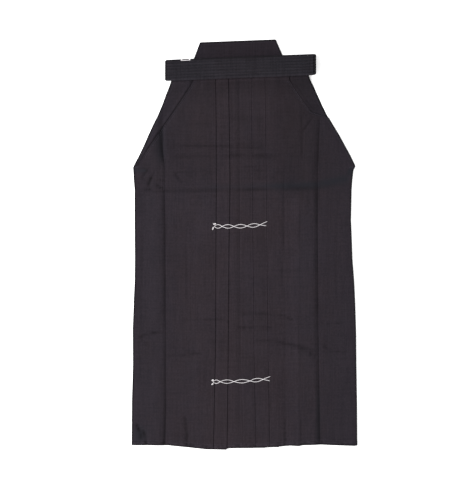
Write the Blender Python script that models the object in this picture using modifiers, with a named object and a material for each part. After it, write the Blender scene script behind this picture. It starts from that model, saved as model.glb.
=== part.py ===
# Hakama trousers laid flat with the front up.
# Metres, +Z up. The back lies on the surface at Z = 0, the waist is toward +Y and the hem toward -Y.
# Right and left leg are the wearer's own, so the right leg is on the -X side.

import bpy
import bmesh
import math

OBJECT_NAME = "hakama_trousers"

# Cloth and how its layers lie on each other
CLOTH = 0.0012
PITCH = 0.00155
FOLD_RADIUS = PITCH / 2
SEAM_GAP = 0.0003

# Front length, waist to hem, and the rows of sections down it
HEM_Y = -0.4900
FRONT_ROWS = [
    0.4150, 0.4040, 0.3850, 0.3500, 0.3100, 0.2700, 0.2350, 0.2050, 0.1880, 0.1700, 0.1300, 0.0800,
    0.0300, -0.0200, -0.0800, -0.1500, -0.2200, -0.2900, -0.3500, -0.4000, -0.4400, -0.4700, HEM_Y,
]
BACK_ROWS = [
    0.4150, 0.3900, 0.3500, 0.2900, 0.2350, 0.2050, 0.1895, 0.1700, 0.1000,
    0.0000, -0.1200, -0.2400, -0.3600, -0.4500, HEM_Y,
]
BACK_SHORTER = 0.0026
WAIST_TILT = 0.040
WAIST_TILT_FROM = 0.330
TILT_CENTRE = -0.0107

# Outline of the flat trousers at each height
OUTLINE = [
    # y, side of the right leg x, side of the left leg x
    (0.4200, -0.1755, 0.1545),
    (0.3989, -0.1788, 0.1620),
    (0.3892, -0.1820, 0.1674),
    (0.3648, -0.1918, 0.1786),
    (0.3404, -0.2008, 0.1896),
    (0.3160, -0.2111, 0.2015),
    (0.2916, -0.2233, 0.2159),
    (0.2672, -0.2345, 0.2308),
    (0.2428, -0.2450, 0.2440),
    (0.2184, -0.2567, 0.2574),
    (0.1940, -0.2694, 0.2692),
    (0.1891, -0.2713, 0.2701),
    (0.1818, -0.2708, 0.2657),
    (0.1574, -0.2694, 0.2628),
    (0.1330, -0.2674, 0.2611),
    (0.0598, -0.2674, 0.2596),
    (0.0110, -0.2670, 0.2616),
    (-0.0378, -0.2667, 0.2633),
    (-0.0866, -0.2672, 0.2672),
    (-0.1354, -0.2694, 0.2696),
    (-0.2086, -0.2720, 0.2720),
    (-0.2940, -0.2715, 0.2728),
    (-0.3794, -0.2740, 0.2742),
    (-0.4900, -0.2747, 0.2750),
]

# Cut edges of the front at the side openings, slanting from the waist to the foot of the opening
SIDE_OPENING = [
    # y, right leg edge x, left leg edge x
    (0.4300, -0.1145, 0.1060),
    (0.4026, -0.1218, 0.1088),
    (0.3526, -0.1526, 0.1405),
    (0.3282, -0.1684, 0.1649),
    (0.2769, -0.2050, 0.1982),
    (0.1915, -0.2640, 0.2655),
]
OPENING_FOOT = 0.1900

# Folded edges of the five front pleats, and how far each pleat goes under
PLEAT_EDGES = [
    # y, first, second, third, fourth, fifth
    (0.4150, -0.0705, -0.0388, -0.0132, 0.0173, 0.0515),
    (0.3000, -0.0690, -0.0364, -0.0120, 0.0193, 0.0535),
    (0.1500, -0.0685, -0.0345, -0.0115, 0.0210, 0.0555),
    (0.0000, -0.0695, -0.0365, -0.0108, 0.0230, 0.0575),
    (-0.2500, -0.0705, -0.0388, -0.0085, 0.0250, 0.0595),
    (-0.4900, -0.0754, -0.0417, -0.0022, 0.0295, 0.0637),
]
PLEAT_UNDER = 0.0220
PLEAT_RISE = 0.0160
SEAM_UNDER = 0.0100

# Lower edge of the front: how far below HEM_Y it hangs
FRONT_HEM = [
    # x, drop
    (-0.2747, -0.0010),
    (-0.1864, -0.0010),
    (-0.1718, 0.0007),
    (-0.1352, 0.0044),
    (-0.1132, 0.0066),
    (-0.0961, 0.0083),
    (-0.0425, 0.0096),
    (-0.0410, 0.0061),
    (0.0400, 0.0046),
    (0.0771, 0.0022),
    (0.1113, 0.0000),
    (0.1320, 0.0014),
    (0.1420, -0.0010),
    (0.1869, -0.0027),
    (0.2162, -0.0010),
    (0.2674, 0.0007),
    (0.2750, 0.0000),
]
HEM_FADE = 0.060

# Deep crease down each leg where the trousers were folded
SIDE_CREASES = [
    # y, right leg crease x, left leg crease x
    (0.3428, -0.1998, 0.1893),
    (0.2794, -0.2023, 0.1820),
    (0.1900, -0.1950, 0.1790),
    (-0.1940, -0.1940, 0.1784),
    (-0.3890, -0.1925, 0.1832),
    (-0.4900, -0.1950, 0.1832),
]
CREASE_RIDGE = 0.0020
CREASE_HALF_WIDTH = 0.0150
CREASE_SIDE = 0.0060

# Centre back pleat: its outer edge, and the fold under
BACK_PLEAT_EDGE = -0.0120
BACK_PLEAT_UNDER = 0.0280
BACK_PLEAT_SEAM = 0.0020
BACK_PLEAT_RISE = 0.0170
BACK_PLEAT_CLEAR = 0.0025
FRONT_WIDER = 0.0050

# Gusset between the legs, from the crotch down
CROTCH_Y = 0.0300
GUSSET_FORK_Y = -0.0400
GUSSET_END_Y = -0.4700
GUSSET_OUT_TOP = 0.0200
GUSSET_OUT_END = 0.0800
GUSSET_SLIT = 0.0060
GUSSET_FADE = 0.0250

# Waist: tilted with the ties. Heights are along Y at TILT_CENTRE.
TIE_LOW = 0.4050
TIE_HIGH = 0.4550
PANELS_TOP = 0.4150
BOARD_TOP_CORNERS = [(-0.1076, 0.4924), (0.0754, 0.4995)]
BOARD_FOOT_CORNERS = [(-0.1387, 0.4102), (0.1101, 0.4201)]
BOARD_THICK = 0.0044
BOARD_ROUND = 0.0060
BAND_ENDS = (-0.1205, 0.1070)
BAND_THICK = 0.0042
FOLDED_ON = 0.0093
FOLDED_LAYER = 0.0015
FOLDED_LAYERS = 4
BACK_TIE_LAYER = 0.0011
BACK_TIE_LAYERS = 8
TIE_GROOVE = 0.0005
TIE_SHIFTS = [(0.0, 0.0), (0.0012, -0.0008), (-0.0006, 0.0006), (0.0004, 0.0)]
TIE_RIBS = 7
TIE_RIB_DEPTH = 0.0004


def between(rows, at, column):
    """Value of one column of a table at a height or width, straight between its rows."""
    rising = rows if rows[0][0] < rows[-1][0] else rows[::-1]
    if at <= rising[0][0]:
        return rising[0][column]
    for low, high in zip(rising, rising[1:]):
        if at <= high[0]:
            share = (at - low[0]) / (high[0] - low[0])
            return low[column] + share * (high[column] - low[column])
    return rising[-1][column]


def ease(value):
    """Soft step from 0 to 1."""
    value = min(1.0, max(0.0, value))
    return value * value * (3 - 2 * value)


def slope(value):
    """Straight step from 0 to 1."""
    return min(1.0, max(0.0, value))


def outline_x(y, side):
    """Side of the whole trousers: side 1 is the right leg, side 2 the left leg."""
    return between(OUTLINE, y, side)


def front_edge_x(y, side):
    """Side of a front panel: the slanted opening above its foot, the outline below."""
    if y < OPENING_FOOT:
        return outline_x(y, side)
    edge = between(SIDE_OPENING, y, side)
    outer = outline_x(y, side)
    return max(edge, outer) if side == 1 else min(edge, outer)


def back_pleat_levels(x, wider=0.0):
    """Layers of back panel that the centre back pleat adds. What lies on it climbs from a little wider."""
    right_end = BACK_PLEAT_EDGE - BACK_PLEAT_CLEAR - wider
    left_end = BACK_PLEAT_EDGE + BACK_PLEAT_UNDER + BACK_PLEAT_CLEAR + wider
    up = slope((x - right_end + BACK_PLEAT_RISE) / BACK_PLEAT_RISE)
    down = slope((left_end + BACK_PLEAT_RISE - x) / BACK_PLEAT_RISE)
    return 2 * min(up, down)


def gusset_out_x(y):
    """Half width of the gusset, wider toward the hem."""
    share = slope((CROTCH_Y - y) / (CROTCH_Y - GUSSET_END_Y))
    return GUSSET_OUT_TOP + share * (GUSSET_OUT_END - GUSSET_OUT_TOP)


def gusset_z(x):
    """Middle of the gusset's wall, lying on the back."""
    return CLOTH / 2 + PITCH * (1 + back_pleat_levels(x))


def front_base(x, y):
    """Middle of the lowest front layer's wall, lying on the back and on the gusset."""
    beside = 1 - slope((abs(x) - gusset_out_x(y) - 0.004) / GUSSET_FADE)
    above = 1 - slope((y - CROTCH_Y - 0.004) / GUSSET_FADE)
    return CLOTH / 2 + PITCH * (1 + back_pleat_levels(x, FRONT_WIDER) + beside * above)


def tilt(x, y):
    """Rise of a row near the waist, which slants with the ties."""
    fade = slope((y - WAIST_TILT_FROM) / (PANELS_TOP - WAIST_TILT_FROM))
    return WAIST_TILT * (x - TILT_CENTRE) * fade


def hem_drop(x, y, shorter):
    """Fall of a row near the hem, which follows the hem's uneven line."""
    fade = slope((HEM_Y + HEM_FADE - y) / HEM_FADE)
    return (between(FRONT_HEM, x, 1) - shorter) * fade


def crease(x, y, side):
    """Height of the two ridges beside the deep crease of a leg."""
    centre = between(SIDE_CREASES, y, side)
    edge = front_edge_x(y, side)
    room = slope((abs(edge - centre) - CREASE_HALF_WIDTH) / 0.010)
    if (side == 1 and centre < edge) or (side == 2 and centre > edge):
        room = 0.0
    off = abs(x - centre)
    if off >= CREASE_HALF_WIDTH:
        return 0.0
    if off <= CREASE_SIDE:
        return CREASE_RIDGE * room * ease(off / CREASE_SIDE)
    return CREASE_RIDGE * room * (1 - ease((off - CREASE_SIDE) / (CREASE_HALF_WIDTH - CREASE_SIDE)))


def spread(values, least=0.0009):
    """Keeps a rising list rising by at least a small step between its fixed ends."""
    out = list(values)
    for i in range(1, len(out)):
        out[i] = max(out[i], out[i - 1] + least)
    out[-1] = values[-1]
    for i in range(len(out) - 2, 0, -1):
        out[i] = min(out[i], out[i + 1] - least)
    return out


def fold_points(x, y, low_level, facing, key):
    """Half circle of a folded edge between two layers. facing is +1 where the edge faces +X."""
    middle = x - facing * (FOLD_RADIUS + CLOTH / 2)
    base = front_base(middle, y)
    points = []
    for step in range(5):
        angle = math.radians(-90 + 45 * step)
        out = FOLD_RADIUS * math.cos(angle)
        up = FOLD_RADIUS * (1 + math.sin(angle))
        points.append((middle + facing * out, base + PITCH * low_level + up, key))
    return points


def front_side_points(y, side, start_x):
    """Points of the outermost, widest stretch of a front, from its side edge to the first pleat's edge."""
    edge = front_edge_x(y, side)
    centre = between(SIDE_CREASES, y, side)
    sign = 1 if side == 1 else -1
    inner = start_x * sign
    outer = edge * sign
    middle = centre * sign
    rise_at = inner - PLEAT_UNDER - PLEAT_RISE
    wanted = [
        outer,
        outer + 0.0060,
        middle - CREASE_HALF_WIDTH,
        middle - CREASE_SIDE,
        middle - CREASE_SIDE / 2,
        middle,
        middle + CREASE_SIDE / 2,
        middle + CREASE_SIDE,
        middle + CREASE_HALF_WIDTH,
        rise_at - 0.050,
        rise_at - 0.022,
        rise_at,
        rise_at + PLEAT_RISE * 0.5,
        rise_at + PLEAT_RISE - 0.0010,
        inner - PLEAT_UNDER * 0.5,
        inner - FOLD_RADIUS - CLOTH / 2 - 0.0006,
    ]
    points = []
    for flat in spread(wanted):
        x = flat * sign
        level = 2 * slope((flat - rise_at) / (PLEAT_RISE - 0.0010))
        z = front_base(x, y) + PITCH * level + crease(x, y, side)
        points.append((x, z, x))
    return points


def pleat_return(edge, y, facing):
    """A knife pleat under its folded edge: the edge's fold, the return layer, the inner fold, the lowest layer.

    facing is +1 where the folded edge faces +X. The points run from the top layer inward.
    """
    past = edge + facing * 0.0006
    inner = edge - facing * PLEAT_UNDER
    points = fold_points(edge, y, 1, facing, past)[::-1]
    x = (edge + inner) / 2
    points.append((x, front_base(x, y) + PITCH, past))
    points += fold_points(inner, y, 0, -facing, past)[::-1]
    for share in (0.5, 1.0):
        x = inner + share * (edge - inner)
        points.append((x, front_base(x, y), past))
    return points


def between_pleats(edge, next_edge, y, facing):
    """The stretch that shows between two pleats, climbing from under the first onto the next one's return."""
    start = edge + facing * 0.0010
    end = next_edge - facing * (PLEAT_UNDER + 0.0010)
    points = []
    for share in (0.0, 0.33, 0.67, 1.0):
        x = start + share * (end - start)
        points.append((x, front_base(x, y) + 2 * PITCH * slope(share), x))
    for under in (PLEAT_UNDER * 0.5, FOLD_RADIUS + CLOTH / 2 + 0.0006):
        x = next_edge - facing * under
        points.append((x, front_base(x, y) + 2 * PITCH, x))
    return points


def front_right_section(y):
    """Section of the right leg's front, from the side to the hidden centre seam."""
    first, second, third = [between(PLEAT_EDGES, y, column) for column in (1, 2, 3)]
    points = front_side_points(y, 1, first)
    points += pleat_return(first, y, 1)
    points += between_pleats(first, second, y, 1)
    points += pleat_return(second, y, 1)
    seam = third + SEAM_UNDER - SEAM_GAP / 2
    knees = [BACK_PLEAT_EDGE - BACK_PLEAT_CLEAR - BACK_PLEAT_RISE, BACK_PLEAT_EDGE - BACK_PLEAT_CLEAR]
    for x in spread([second + 0.0030] + knees + [seam]):
        points.append((x, front_base(x, y), x))
    return points


def front_left_section(y):
    """Section of the left leg's front, from the side to the hidden centre seam."""
    third, fourth, fifth = [between(PLEAT_EDGES, y, column) for column in (3, 4, 5)]
    points = front_side_points(y, 2, fifth)
    points += pleat_return(fifth, y, -1)
    points += between_pleats(fifth, fourth, y, -1)
    points += pleat_return(fourth, y, -1)
    points += between_pleats(fourth, third, y, -1)
    points += fold_points(third, y, 1, -1, third)[::-1]
    inner = third + PLEAT_UNDER
    x = third + 0.5 * PLEAT_UNDER
    points.append((x, front_base(x, y) + PITCH, x))
    points += fold_points(inner, y, 0, 1, third)[::-1]
    seam = third + SEAM_UNDER + SEAM_GAP / 2
    points.append((seam, front_base(seam, y), seam))
    return points


def back_fold(x, low_level, facing):
    """Half circle of a fold of the centre back pleat."""
    middle = x - facing * (FOLD_RADIUS + CLOTH / 2)
    points = []
    for step in range(5):
        angle = math.radians(-90 + 45 * step)
        out = FOLD_RADIUS * math.cos(angle)
        up = FOLD_RADIUS * (1 + math.sin(angle))
        points.append((middle + facing * out, CLOTH / 2 + PITCH * low_level + up, x))
    return points


def back_left_section(y):
    """Section of the left leg's back, flat on the floor, with the centre back pleat folded on it."""
    edge = outline_x(y, 2) - 0.0008
    inner = BACK_PLEAT_EDGE + BACK_PLEAT_UNDER
    points = []
    for share in (0.0, 0.15, 0.32, 0.5, 0.75, 0.95):
        x = edge + share * (inner - edge)
        points.append((x, CLOTH / 2, x))
    points.append((0.002, CLOTH / 2, 0.002))
    points += back_fold(BACK_PLEAT_EDGE, 0, -1)
    points.append((0.002, CLOTH / 2 + PITCH, 0.002))
    points += back_fold(inner, 1, 1)
    seam = BACK_PLEAT_SEAM + SEAM_GAP / 2
    points.append((seam, CLOTH / 2 + 2 * PITCH, seam))
    return points


def back_right_section(y):
    """Section of the right leg's back, flat on the floor, its inner edge lying on the centre back pleat."""
    edge = outline_x(y, 1) + 0.0008
    foot = BACK_PLEAT_EDGE - BACK_PLEAT_CLEAR - BACK_PLEAT_RISE
    points = []
    for share in (0.0, 0.15, 0.32, 0.5, 0.75, 1.0):
        x = edge + share * (foot - edge)
        points.append((x, CLOTH / 2, x))
    for share in (0.33, 0.67, 1.0):
        x = foot + share * BACK_PLEAT_RISE
        points.append((x, CLOTH / 2 + 2 * PITCH * share, x))
    seam = BACK_PLEAT_SEAM - SEAM_GAP / 2
    points.append((seam, CLOTH / 2 + 2 * PITCH, seam))
    return points


def panel_grid(section, rows, shorter=0.0):
    """Rows of points of a panel. Each point is read again at its own height after the row's tilt and drop."""
    grid = []
    for y in rows:
        row = []
        for column, (x, _, key) in enumerate(section(y)):
            height = y + tilt(x, y) - hem_drop(key, y, shorter)
            x_there, z_there, _ = section(height)[column]
            row.append((x_there, height, z_there))
        grid.append(row)
    return grid


def new_material(name, colour, roughness):
    material = bpy.data.materials.new(name)
    material.use_nodes = True
    principled = material.node_tree.nodes["Principled BSDF"]
    principled.inputs["Base Color"].default_value = (*colour, 1.0)
    principled.inputs["Roughness"].default_value = roughness
    principled.inputs["Metallic"].default_value = 0.0
    return material


def place(name, mesh, material, collection, smooth_angle=35):
    mesh.materials.append(material)
    mesh.shade_smooth()
    mesh.set_sharp_from_angle(angle=math.radians(smooth_angle))
    piece = bpy.data.objects.new(name, mesh)
    collection.objects.link(piece)
    return piece


def surface_from(name, grid, skip=None):
    """Open surface through rows of points. skip says which cells are left out."""
    bm = bmesh.new()
    verts = [[bm.verts.new(point) for point in row] for row in grid]
    for i in range(len(grid) - 1):
        for j in range(len(grid[0]) - 1):
            if skip and skip(i, j):
                continue
            bm.faces.new((verts[i][j], verts[i + 1][j], verts[i + 1][j + 1], verts[i][j + 1]))
    loose = [vert for vert in bm.verts if not vert.link_faces]
    bmesh.ops.delete(bm, geom=loose, context="VERTS")
    mesh = bpy.data.meshes.new(name)
    bm.to_mesh(mesh)
    bm.free()
    return mesh


def cloth_wall(piece, thickness=CLOTH):
    """Gives an open surface the cloth's wall, half to each side."""
    wall = piece.modifiers.new("cloth_wall", "SOLIDIFY")
    wall.thickness = thickness
    wall.offset = 0.0
    wall.use_even_offset = True
    wall.use_quality_normals = True


def gusset_surface():
    """Each row has points at its edges, at the slit and where the back pleat below it starts and ends."""
    right_knee = BACK_PLEAT_EDGE - BACK_PLEAT_CLEAR
    left_knee = BACK_PLEAT_EDGE + BACK_PLEAT_UNDER + BACK_PLEAT_CLEAR
    bends = [right_knee - BACK_PLEAT_RISE, right_knee, left_knee, left_knee + BACK_PLEAT_RISE]
    slit = GUSSET_SLIT / 2
    grid = []
    for y in (CROTCH_Y, GUSSET_FORK_Y, -0.15, -0.26, -0.37, GUSSET_END_Y):
        wide = gusset_out_x(y)
        wanted = [-wide, bends[0], bends[1], -slit, slit, bends[2], bends[3], wide]
        wanted[1] = max(wanted[1], -wide + 0.002)
        wanted[6] = min(wanted[6], wide - 0.002)
        grid.append([(x, y, gusset_z(x)) for x in spread(wanted)])
    return surface_from("crotch_gusset", grid, lambda i, j: i >= 1 and j == 3)


def tilted(x, height):
    """Point of the waist, whose lines slant with the ties."""
    return (x, height + WAIST_TILT * (x - TILT_CENTRE))


def flat_outline(name, corners, low, high, rounding):
    """Slab with a flat outline: a filled curve made thick, with its long edges rounded."""
    curve = bpy.data.curves.new(name, "CURVE")
    curve.dimensions = "2D"
    curve.fill_mode = "BOTH"
    curve.extrude = (high - low) / 2
    spline = curve.splines.new("POLY")
    spline.points.add(len(corners) - 1)
    for point, (x, y) in zip(spline.points, corners):
        point.co = (x, y, 0.0, 1.0)
    spline.use_cyclic_u = True
    slab = bpy.data.objects.new(name, curve)
    slab.location.z = (low + high) / 2
    weld = slab.modifiers.new("weld", "WELD")
    weld.merge_threshold = 0.00005
    bevel = slab.modifiers.new("rounded_edges", "BEVEL")
    bevel.width = rounding
    bevel.segments = 2
    bevel.limit_method = "ANGLE"
    bevel.angle_limit = math.radians(50)
    return slab


def rounded_corners(corners, radius, steps=3):
    """Corners of an outline turned into short arcs."""
    rounded = []
    count = len(corners)
    for i, (x, y) in enumerate(corners):
        before = corners[i - 1]
        after = corners[(i + 1) % count]
        to_before = (before[0] - x, before[1] - y)
        to_after = (after[0] - x, after[1] - y)
        long_before = math.hypot(*to_before)
        long_after = math.hypot(*to_after)
        start = (x + to_before[0] / long_before * radius, y + to_before[1] / long_before * radius)
        end = (x + to_after[0] / long_after * radius, y + to_after[1] / long_after * radius)
        for step in range(steps + 1):
            t = step / steps
            px = (1 - t) ** 2 * start[0] + 2 * t * (1 - t) * x + t * t * end[0]
            py = (1 - t) ** 2 * start[1] + 2 * t * (1 - t) * y + t * t * end[1]
            rounded.append((px, py))
    return rounded


def quilted_top(bm, loop, steps_long, steps_across, ribs):
    """Closes the top of a tie. With ribs it is quilted: long ribs with a row of stitching sunk between them."""
    if ribs == 0:
        bm.faces.new(loop)
        return
    grid = []
    for i in range(steps_long + 1):
        low = loop[i]
        high = loop[2 * steps_long + steps_across - i]
        row = [low]
        for j in range(1, steps_across):
            if i == 0:
                row.append(loop[-j])
                continue
            if i == steps_long:
                row.append(loop[steps_long + j])
                continue
            point = low.co.lerp(high.co, j / steps_across)
            if j % 2 == 0:
                point.z -= TIE_RIB_DEPTH
            row.append(bm.verts.new(point))
        grid.append(row + [high])
    for near, far in zip(grid, grid[1:]):
        for j in range(steps_across):
            bm.faces.new((near[j], far[j], far[j + 1], near[j + 1]))


def folded_tie(name, ends, sides, floor, layer, layers, first_join, ribs=0):
    """A long tie folded to and fro: one solid, grooved at its edges between the layers.

    Neighbouring layers are joined by a fold at one end, and the join changes end from layer to layer.
    first_join is -1 where the lowest two layers are joined at the right leg's end. Each layer lies a little
    to one side of the next.
    """
    steps_long = 12
    steps_across = 2 * ribs if ribs else 5
    bm = bmesh.new()
    loops = []
    for k in range(layers):
        shift_long, shift_across = TIE_SHIFTS[k % len(TIE_SHIFTS)]
        x0, x1 = ends[0] + shift_long, ends[1] + shift_long * 0.6
        y0, y1 = sides[0] + shift_across, sides[1] + shift_across
        for share, groove in ((0.0, 1.0), (0.25, 0.0), (0.75, 0.0), (1.0, 1.0)):
            join = first_join if (k + (share > 0.5)) % 2 == 1 else -first_join
            if (k == 0 and share < 0.5) or (k == layers - 1 and share > 0.5):
                join = 0
            inset = TIE_GROOVE * groove
            right = x0 + (0.0 if join == -1 else inset)
            left = x1 - (0.0 if join == 1 else inset)
            low, high = y0 + inset, y1 - inset
            along = [right + (left - right) * step / steps_long for step in range(steps_long + 1)]
            across = [low + (high - low) * step / steps_across for step in range(1, steps_across)]
            points = [(x, low) for x in along] + [(left, y) for y in across]
            points += [(x, high) for x in along[::-1]] + [(right, y) for y in across[::-1]]
            z = floor + layer * (k + share)
            loops.append([bm.verts.new((*tilted(x, y), z)) for x, y in points])
    for lower, upper in zip(loops, loops[1:]):
        for i in range(len(lower)):
            j = (i + 1) % len(lower)
            bm.faces.new((lower[i], lower[j], upper[j], upper[i]))
    bm.faces.new(loops[0][::-1])
    quilted_top(bm, loops[-1], steps_long, steps_across, ribs)
    mesh = bpy.data.meshes.new(name)
    bm.to_mesh(mesh)
    bm.free()
    return mesh


def build():
    for old in list(bpy.data.objects):
        bpy.data.objects.remove(old, do_unlink=True)
    collection = bpy.data.collections.new(OBJECT_NAME)
    bpy.context.scene.collection.children.link(collection)

    cotton = (0.034, 0.027, 0.034)
    quilted = (0.026, 0.023, 0.031)

    panels = [
        ("back_right_leg", back_right_section, BACK_ROWS, BACK_SHORTER),
        ("back_left_leg", back_left_section, BACK_ROWS, BACK_SHORTER),
        ("front_right_leg", front_right_section, FRONT_ROWS, 0.0),
        ("front_left_leg", front_left_section, FRONT_ROWS, 0.0),
    ]
    for name, section, rows, shorter in panels:
        mesh = surface_from(name, panel_grid(section, rows, shorter))
        piece = place(name, mesh, new_material(name + "_cotton", cotton, 0.9), collection)
        cloth_wall(piece)

    gusset = place("crotch_gusset", gusset_surface(), new_material("gusset_cotton", cotton, 0.9), collection)
    cloth_wall(gusset)

    board_corners = BOARD_FOOT_CORNERS + BOARD_TOP_CORNERS[::-1]
    board = flat_outline("back_board", rounded_corners(board_corners, BOARD_ROUND), 0.0, BOARD_THICK, 0.0012)
    board.data.materials.append(new_material("board_cloth", (0.022, 0.019, 0.024), 0.92))
    collection.objects.link(board)

    band_low = PANELS_TOP + SEAM_GAP
    band_high = TIE_HIGH - 0.004
    band_corners = [
        tilted(BAND_ENDS[0], band_low),
        tilted(BAND_ENDS[1], band_low),
        tilted(BAND_ENDS[1] - 0.003, band_high),
        tilted(BAND_ENDS[0] + 0.003, band_high),
    ]
    band_floor = BOARD_THICK + SEAM_GAP
    band = flat_outline("front_waistband", band_corners, band_floor, band_floor + BAND_THICK, 0.0010)
    band.data.materials.append(new_material("waistband_cotton", quilted, 0.9))
    collection.objects.link(band)

    on_top = FOLDED_ON + FOLDED_LAYER * FOLDED_LAYERS + SEAM_GAP
    under_sides = (TIE_LOW + 0.0012, TIE_HIGH - 0.0008)
    back_sides = (PANELS_TOP + 0.0010, TIE_HIGH - 0.0030)
    ties = [
        ("front_tie_right_folded", (-0.1915, 0.1725), under_sides, FOLDED_ON, FOLDED_LAYER, FOLDED_LAYERS, 1, 0),
        (
            "front_tie_left_folded", (-0.1928, 0.1738), (TIE_LOW, TIE_HIGH), on_top, FOLDED_LAYER,
            FOLDED_LAYERS, -1, TIE_RIBS,
        ),
        ("back_tie_right_folded", (-0.1900, -0.1412), back_sides, 0.0, BACK_TIE_LAYER, BACK_TIE_LAYERS, 1, 0),
        ("back_tie_left_folded", (0.1125, 0.1705), back_sides, 0.0, BACK_TIE_LAYER, BACK_TIE_LAYERS, -1, 0),
    ]
    for name, *shape in ties:
        place(name, folded_tie(name, *shape), new_material(name + "_cotton", quilted, 0.88), collection)


build()
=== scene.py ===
import math

import bpy
import numpy as np
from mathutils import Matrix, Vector
from mathutils.bvhtree import BVHTree


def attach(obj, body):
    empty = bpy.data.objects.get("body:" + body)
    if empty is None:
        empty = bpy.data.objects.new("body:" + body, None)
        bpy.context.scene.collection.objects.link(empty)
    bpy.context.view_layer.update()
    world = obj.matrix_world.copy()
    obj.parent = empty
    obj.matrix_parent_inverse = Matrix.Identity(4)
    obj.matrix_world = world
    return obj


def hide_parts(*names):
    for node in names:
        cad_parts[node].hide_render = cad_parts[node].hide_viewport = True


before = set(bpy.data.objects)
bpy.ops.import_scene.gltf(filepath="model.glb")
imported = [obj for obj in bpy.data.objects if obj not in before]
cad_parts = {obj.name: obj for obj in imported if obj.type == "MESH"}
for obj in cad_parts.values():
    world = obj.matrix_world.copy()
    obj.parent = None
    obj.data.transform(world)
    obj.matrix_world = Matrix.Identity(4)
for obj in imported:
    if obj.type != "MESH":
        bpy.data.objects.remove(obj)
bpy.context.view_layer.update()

# Cloth and its layers. WALL and PITCH are the solids' own, and CLOTH is the thinner wall of the front.
CLOTH = 0.00095
WALL = 0.0012
PITCH = 0.00155
PLEAT_PITCH = 0.00118
FOLD_RADIUS = PLEAT_PITCH / 2

HEM_Y = -0.4900
PANELS_TOP = 0.4150
BACK_SHORTER = 0.0026
WAIST_TILT = 0.040
WAIST_TILT_FROM = 0.330
TILT_CENTRE = -0.0107
HEM_FADE = 0.060
HEM_BAND = 0.0115
EDGE_TURN = 0.0062
BACK_INSET = 0.0008

OUTLINE = [
    # y, side of the right leg x, side of the left leg x
    (0.4200, -0.1755, 0.1545),
    (0.3989, -0.1788, 0.1620),
    (0.3892, -0.1820, 0.1674),
    (0.3648, -0.1918, 0.1786),
    (0.3404, -0.2008, 0.1896),
    (0.3160, -0.2111, 0.2015),
    (0.2916, -0.2233, 0.2159),
    (0.2672, -0.2345, 0.2308),
    (0.2428, -0.2450, 0.2440),
    (0.2184, -0.2567, 0.2574),
    (0.1940, -0.2694, 0.2692),
    (0.1891, -0.2713, 0.2701),
    (0.1818, -0.2708, 0.2657),
    (0.1574, -0.2694, 0.2628),
    (0.1330, -0.2674, 0.2611),
    (0.0598, -0.2674, 0.2596),
    (0.0110, -0.2670, 0.2616),
    (-0.0378, -0.2667, 0.2633),
    (-0.0866, -0.2672, 0.2672),
    (-0.1354, -0.2694, 0.2696),
    (-0.2086, -0.2720, 0.2720),
    (-0.2940, -0.2715, 0.2728),
    (-0.3794, -0.2740, 0.2742),
    (-0.4900, -0.2747, 0.2750),
]
SIDE_OPENING = [
    # y, right leg edge x, left leg edge x
    (0.4300, -0.1145, 0.1060),
    (0.4026, -0.1218, 0.1088),
    (0.3526, -0.1542, 0.1418),
    (0.3282, -0.1704, 0.1602),
    (0.3210, -0.1753, 0.1692),
    (0.3100, -0.1829, 0.2080),
    (0.2769, -0.2056, 0.2400),
    (0.1915, -0.2640, 0.2900),
]
OPENING_FOOT = 0.1900
PLEAT_EDGES = [
    # y, first, second, third, fourth, fifth
    (0.4150, -0.0705, -0.0394, -0.0132, 0.0165, 0.0502),
    (0.3000, -0.0690, -0.0372, -0.0120, 0.0182, 0.0520),
    (0.1500, -0.0685, -0.0354, -0.0115, 0.0197, 0.0537),
    (0.0000, -0.0695, -0.0376, -0.0108, 0.0212, 0.0553),
    (-0.2500, -0.0705, -0.0397, -0.0085, 0.0236, 0.0578),
    (-0.4900, -0.0754, -0.0424, -0.0022, 0.0286, 0.0624),
]
PLEAT_UNDER = 0.0220
STACK_FOOT = 0.0400
SEAM_UNDER = 0.0100
FRONT_HEM = [
    # x, drop
    (-0.2747, -0.0010),
    (-0.1864, -0.0010),
    (-0.1718, 0.0007),
    (-0.1352, 0.0044),
    (-0.1132, 0.0066),
    (-0.0961, 0.0083),
    (-0.0425, 0.0096),
    (-0.0410, 0.0061),
    (0.0400, 0.0046),
    (0.0771, 0.0022),
    (0.1113, 0.0000),
    (0.1320, 0.0014),
    (0.1420, -0.0010),
    (0.1869, -0.0027),
    (0.2162, -0.0010),
    (0.2674, 0.0007),
    (0.2750, 0.0000),
]
SIDE_CREASES = [
    # y, right leg crease x, left leg crease x
    (0.3428, -0.1985, 0.1868),
    (0.2794, -0.2012, 0.1828),
    (0.2300, -0.1990, 0.1810),
    (0.1900, -0.1944, 0.1796),
    (0.0500, -0.1927, 0.1788),
    (-0.1940, -0.1918, 0.1804),
    (-0.3890, -0.1910, 0.1834),
    (-0.4900, -0.1930, 0.1848),
]

# Centre back pleat and gusset
BACK_PLEAT_EDGE = -0.0120
BACK_PLEAT_UNDER = 0.0280
BACK_PLEAT_SEAM = 0.0020
BACK_PLEAT_RISE = 0.0170
BACK_PLEAT_CLEAR = 0.0025
FRONT_RISE = 0.0360
FRONT_FALL = FRONT_RISE + 0.0060
FRONT_PLATEAU = (-0.0195, 0.0600)
CROTCH_Y = 0.0300
GUSSET_FORK_Y = -0.0400
GUSSET_END_Y = -0.4700
GUSSET_OUT_TOP = 0.0200
GUSSET_OUT_END = 0.0800
GUSSET_SLIT = 0.0060
GUSSET_FADE = 0.0250
GUSSET_HALF = 22

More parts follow.
